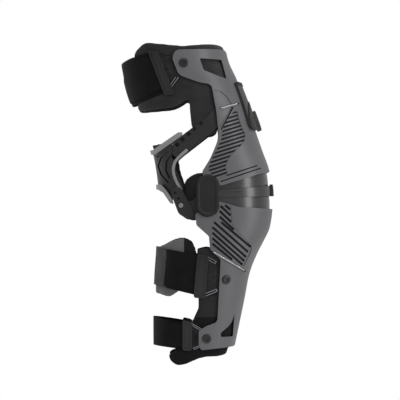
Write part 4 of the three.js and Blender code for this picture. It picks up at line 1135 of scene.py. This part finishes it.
def square(at, way, half):
    middle = Vector(at)
    along = Vector(way).normalized() * half
    return strip(middle - along, middle + along, half)


bridge = wrapped("guide_bridge", BRIDGE, BAND_IN, BAND_OUT, both=True, radius=0.0015)
for line in strips([leg for route in CHANNELS for leg in zip(route, route[1:])], 0.0011):
    sunk(bridge, [line], CHANNEL_DEPTH, *span_of(line, 0.004), radius=0.0005, top=BAND_OUT)
blended(bridge, guide_black, "rear_guide")

UPPER_BAR = place([(-0.66, 0.303), (-0.552, 0.303), (-0.289, 0.42), (-0.245, 0.417), (-0.259, 0.396),
                   (-0.515, 0.278), (-0.66, 0.272)])
LOWER_BAR = place([(-0.66, 0.073), (-0.465, 0.073), (-0.415, 0.037), (-0.36, -0.017), (-0.345, -0.057),
                   (-0.375, -0.05), (-0.445, 0.018), (-0.5, 0.04), (-0.66, 0.04)])
for stem, outline in (("upper", UPPER_BAR), ("lower", LOWER_BAR)):
    bar = wrapped(f"guide_{stem}_bar", outline, BAR_IN, BAR_OUT, both=True, radius=0.0009)
    blended(bar, guide_grey, f"guide_plate_{stem}", bevel=0.0007)

GUIDE_PAD = place([
    (-0.66, 0.335), (-0.4, 0.35), (-0.29, 0.245), (-0.27, 0.16), (-0.2, 0.03), (-0.3, 0.02), (-0.45, 0.09),
    (-0.66, 0.09),
])
guide_pad = swell(wrapped("guide_padding", GUIDE_PAD, LINER_IN, LINER_OUT, both=True), cap=0.0003)
soft(guide_pad, neoprene, None, "guide_pad", blended=("thigh", "hinge_carrier", GUIDE_START, GUIDE_END))

arm = wrapped("ladder_arm_left", UPPER_ARM, BAND_IN, BAND_OUT)
paint(arm, guide_black)
spots = place(HOLES)
way = Vector(spots[-1]) - Vector(spots[0])
# The holes of the ladder arm get floors of painted shade.
sunk(arm, [square(at, way, 0.0024) for at in spots], HOLE_DEPTH, *span_of(UPPER_ARM), radius=0.0006,
     top=BAND_OUT, look=groove_painted_shade)
fit_pair(arm, "ladder_arm", guide_black, "thigh", "guide_upper_arm", bevel=0.0006)

LOWER_ARM = place([(-0.365, 0.012), (-0.29, -0.12), (-0.19, -0.165), (-0.135, -0.14), (-0.15, -0.085),
                   (-0.213, -0.018), (-0.262, 0.05), (-0.315, 0.058)])
ARM_IN, ARM_OUT = 0.0588, 0.0614  # from the mid plane
HOLE_FLOOR = -0.0597
foot_arm = prism("foot_arm_left", LOWER_ARM, left=-ARM_OUT, right=-ARM_IN, radius=0.003)
paint(foot_arm, guide_black)
# The holes of the foot arm get floors of painted shade.
foot_holes = joined([prism("hole", square(at, (0.4, -0.9), 0.0017), left=-0.07, right=HOLE_FLOOR,
                           radius=0.0004, segments=2) for at in place([(-0.325, 0.017), (-0.29, -0.021)])])
paint(foot_holes, groove_painted_shade)
combine(foot_arm, foot_holes, "DIFFERENCE")
fit_pair(foot_arm, "foot_arm", guide_black, "hinge_carrier", "guide_lower_arm", bevel=0.0006)
PIN_SPOT = Vector((-0.03445, -0.0619, -0.0129))
screw = seated(bolt_head("guide_pin_left", radius=0.0032, height=0.0016), PIN_SPOT, Vector((0, -1, 0)))
fit_pair(screw, "guide_pin", wire_steel, "hinge_carrier", "guide_screw", bevel=0.0002)


# %% [markdown]
# A pale flexible rib runs along the inner edge of the guide. It is a flat grid rolled into a
# square tube along a smooth line on the leg's side, with its ends closed.

# %% Guide rib
def ribbon(name, route, half, inner, outer, steps=60):
    knots = [Vector(p) for p in place(route)]
    line = []
    for i in range(steps + 1):
        spot = i / steps * (len(knots) - 1)
        k = min(len(knots) - 2, int(spot))
        t = spot - k
        a, b = knots[k], knots[k + 1]
        before, after = knots[max(0, k - 1)], knots[min(len(knots) - 1, k + 2)]
        line.append(0.5 * ((2 * a) + (b - before) * t + (2 * before - 5 * a + 4 * b - after) * t**2
                           + (3 * a - before - 3 * b + after) * t**3))
    section = [(-half, inner), (-half, outer), (half, outer), (half, inner), (-half, inner)]
    bm = bmesh.new()
    bmesh.ops.create_grid(bm, x_segments=4, y_segments=steps, size=1)
    for vert in bm.verts:
        i = round((vert.co.y + 1) / 2 * steps)
        across, offset = section[round((vert.co.x + 1) * 2)]
        ahead = (line[min(steps, i + 1)] - line[max(0, i - 1)]).normalized()
        spot = line[i] + Vector((-ahead.y, ahead.x)) * across
        vert.co = (spot.x, -leg_side(spot.x, spot.y, offset), spot.y)
    bmesh.ops.remove_doubles(bm, verts=bm.verts, dist=MERGE)
    bmesh.ops.holes_fill(bm, edges=[e for e in bm.edges if e.is_boundary], sides=4)
    bmesh.ops.recalc_face_normals(bm, faces=bm.faces)
    return piece_from(name, bm)


RIB_ROUTE = [(-0.2, 0.305), (-0.265, 0.268), (-0.322, 0.225), (-0.342, 0.169), (-0.318, 0.105),
             (-0.262, 0.035)]
rib = ribbon("guide_rib_left", RIB_ROUTE, 0.0019, 0.0032, 0.0072)
rib_right = other_side(rib, "guide_rib_right")
blended(rib, guide_grey, bevel=0.0005)
blended(rib_right, guide_grey, bevel=0.0005)
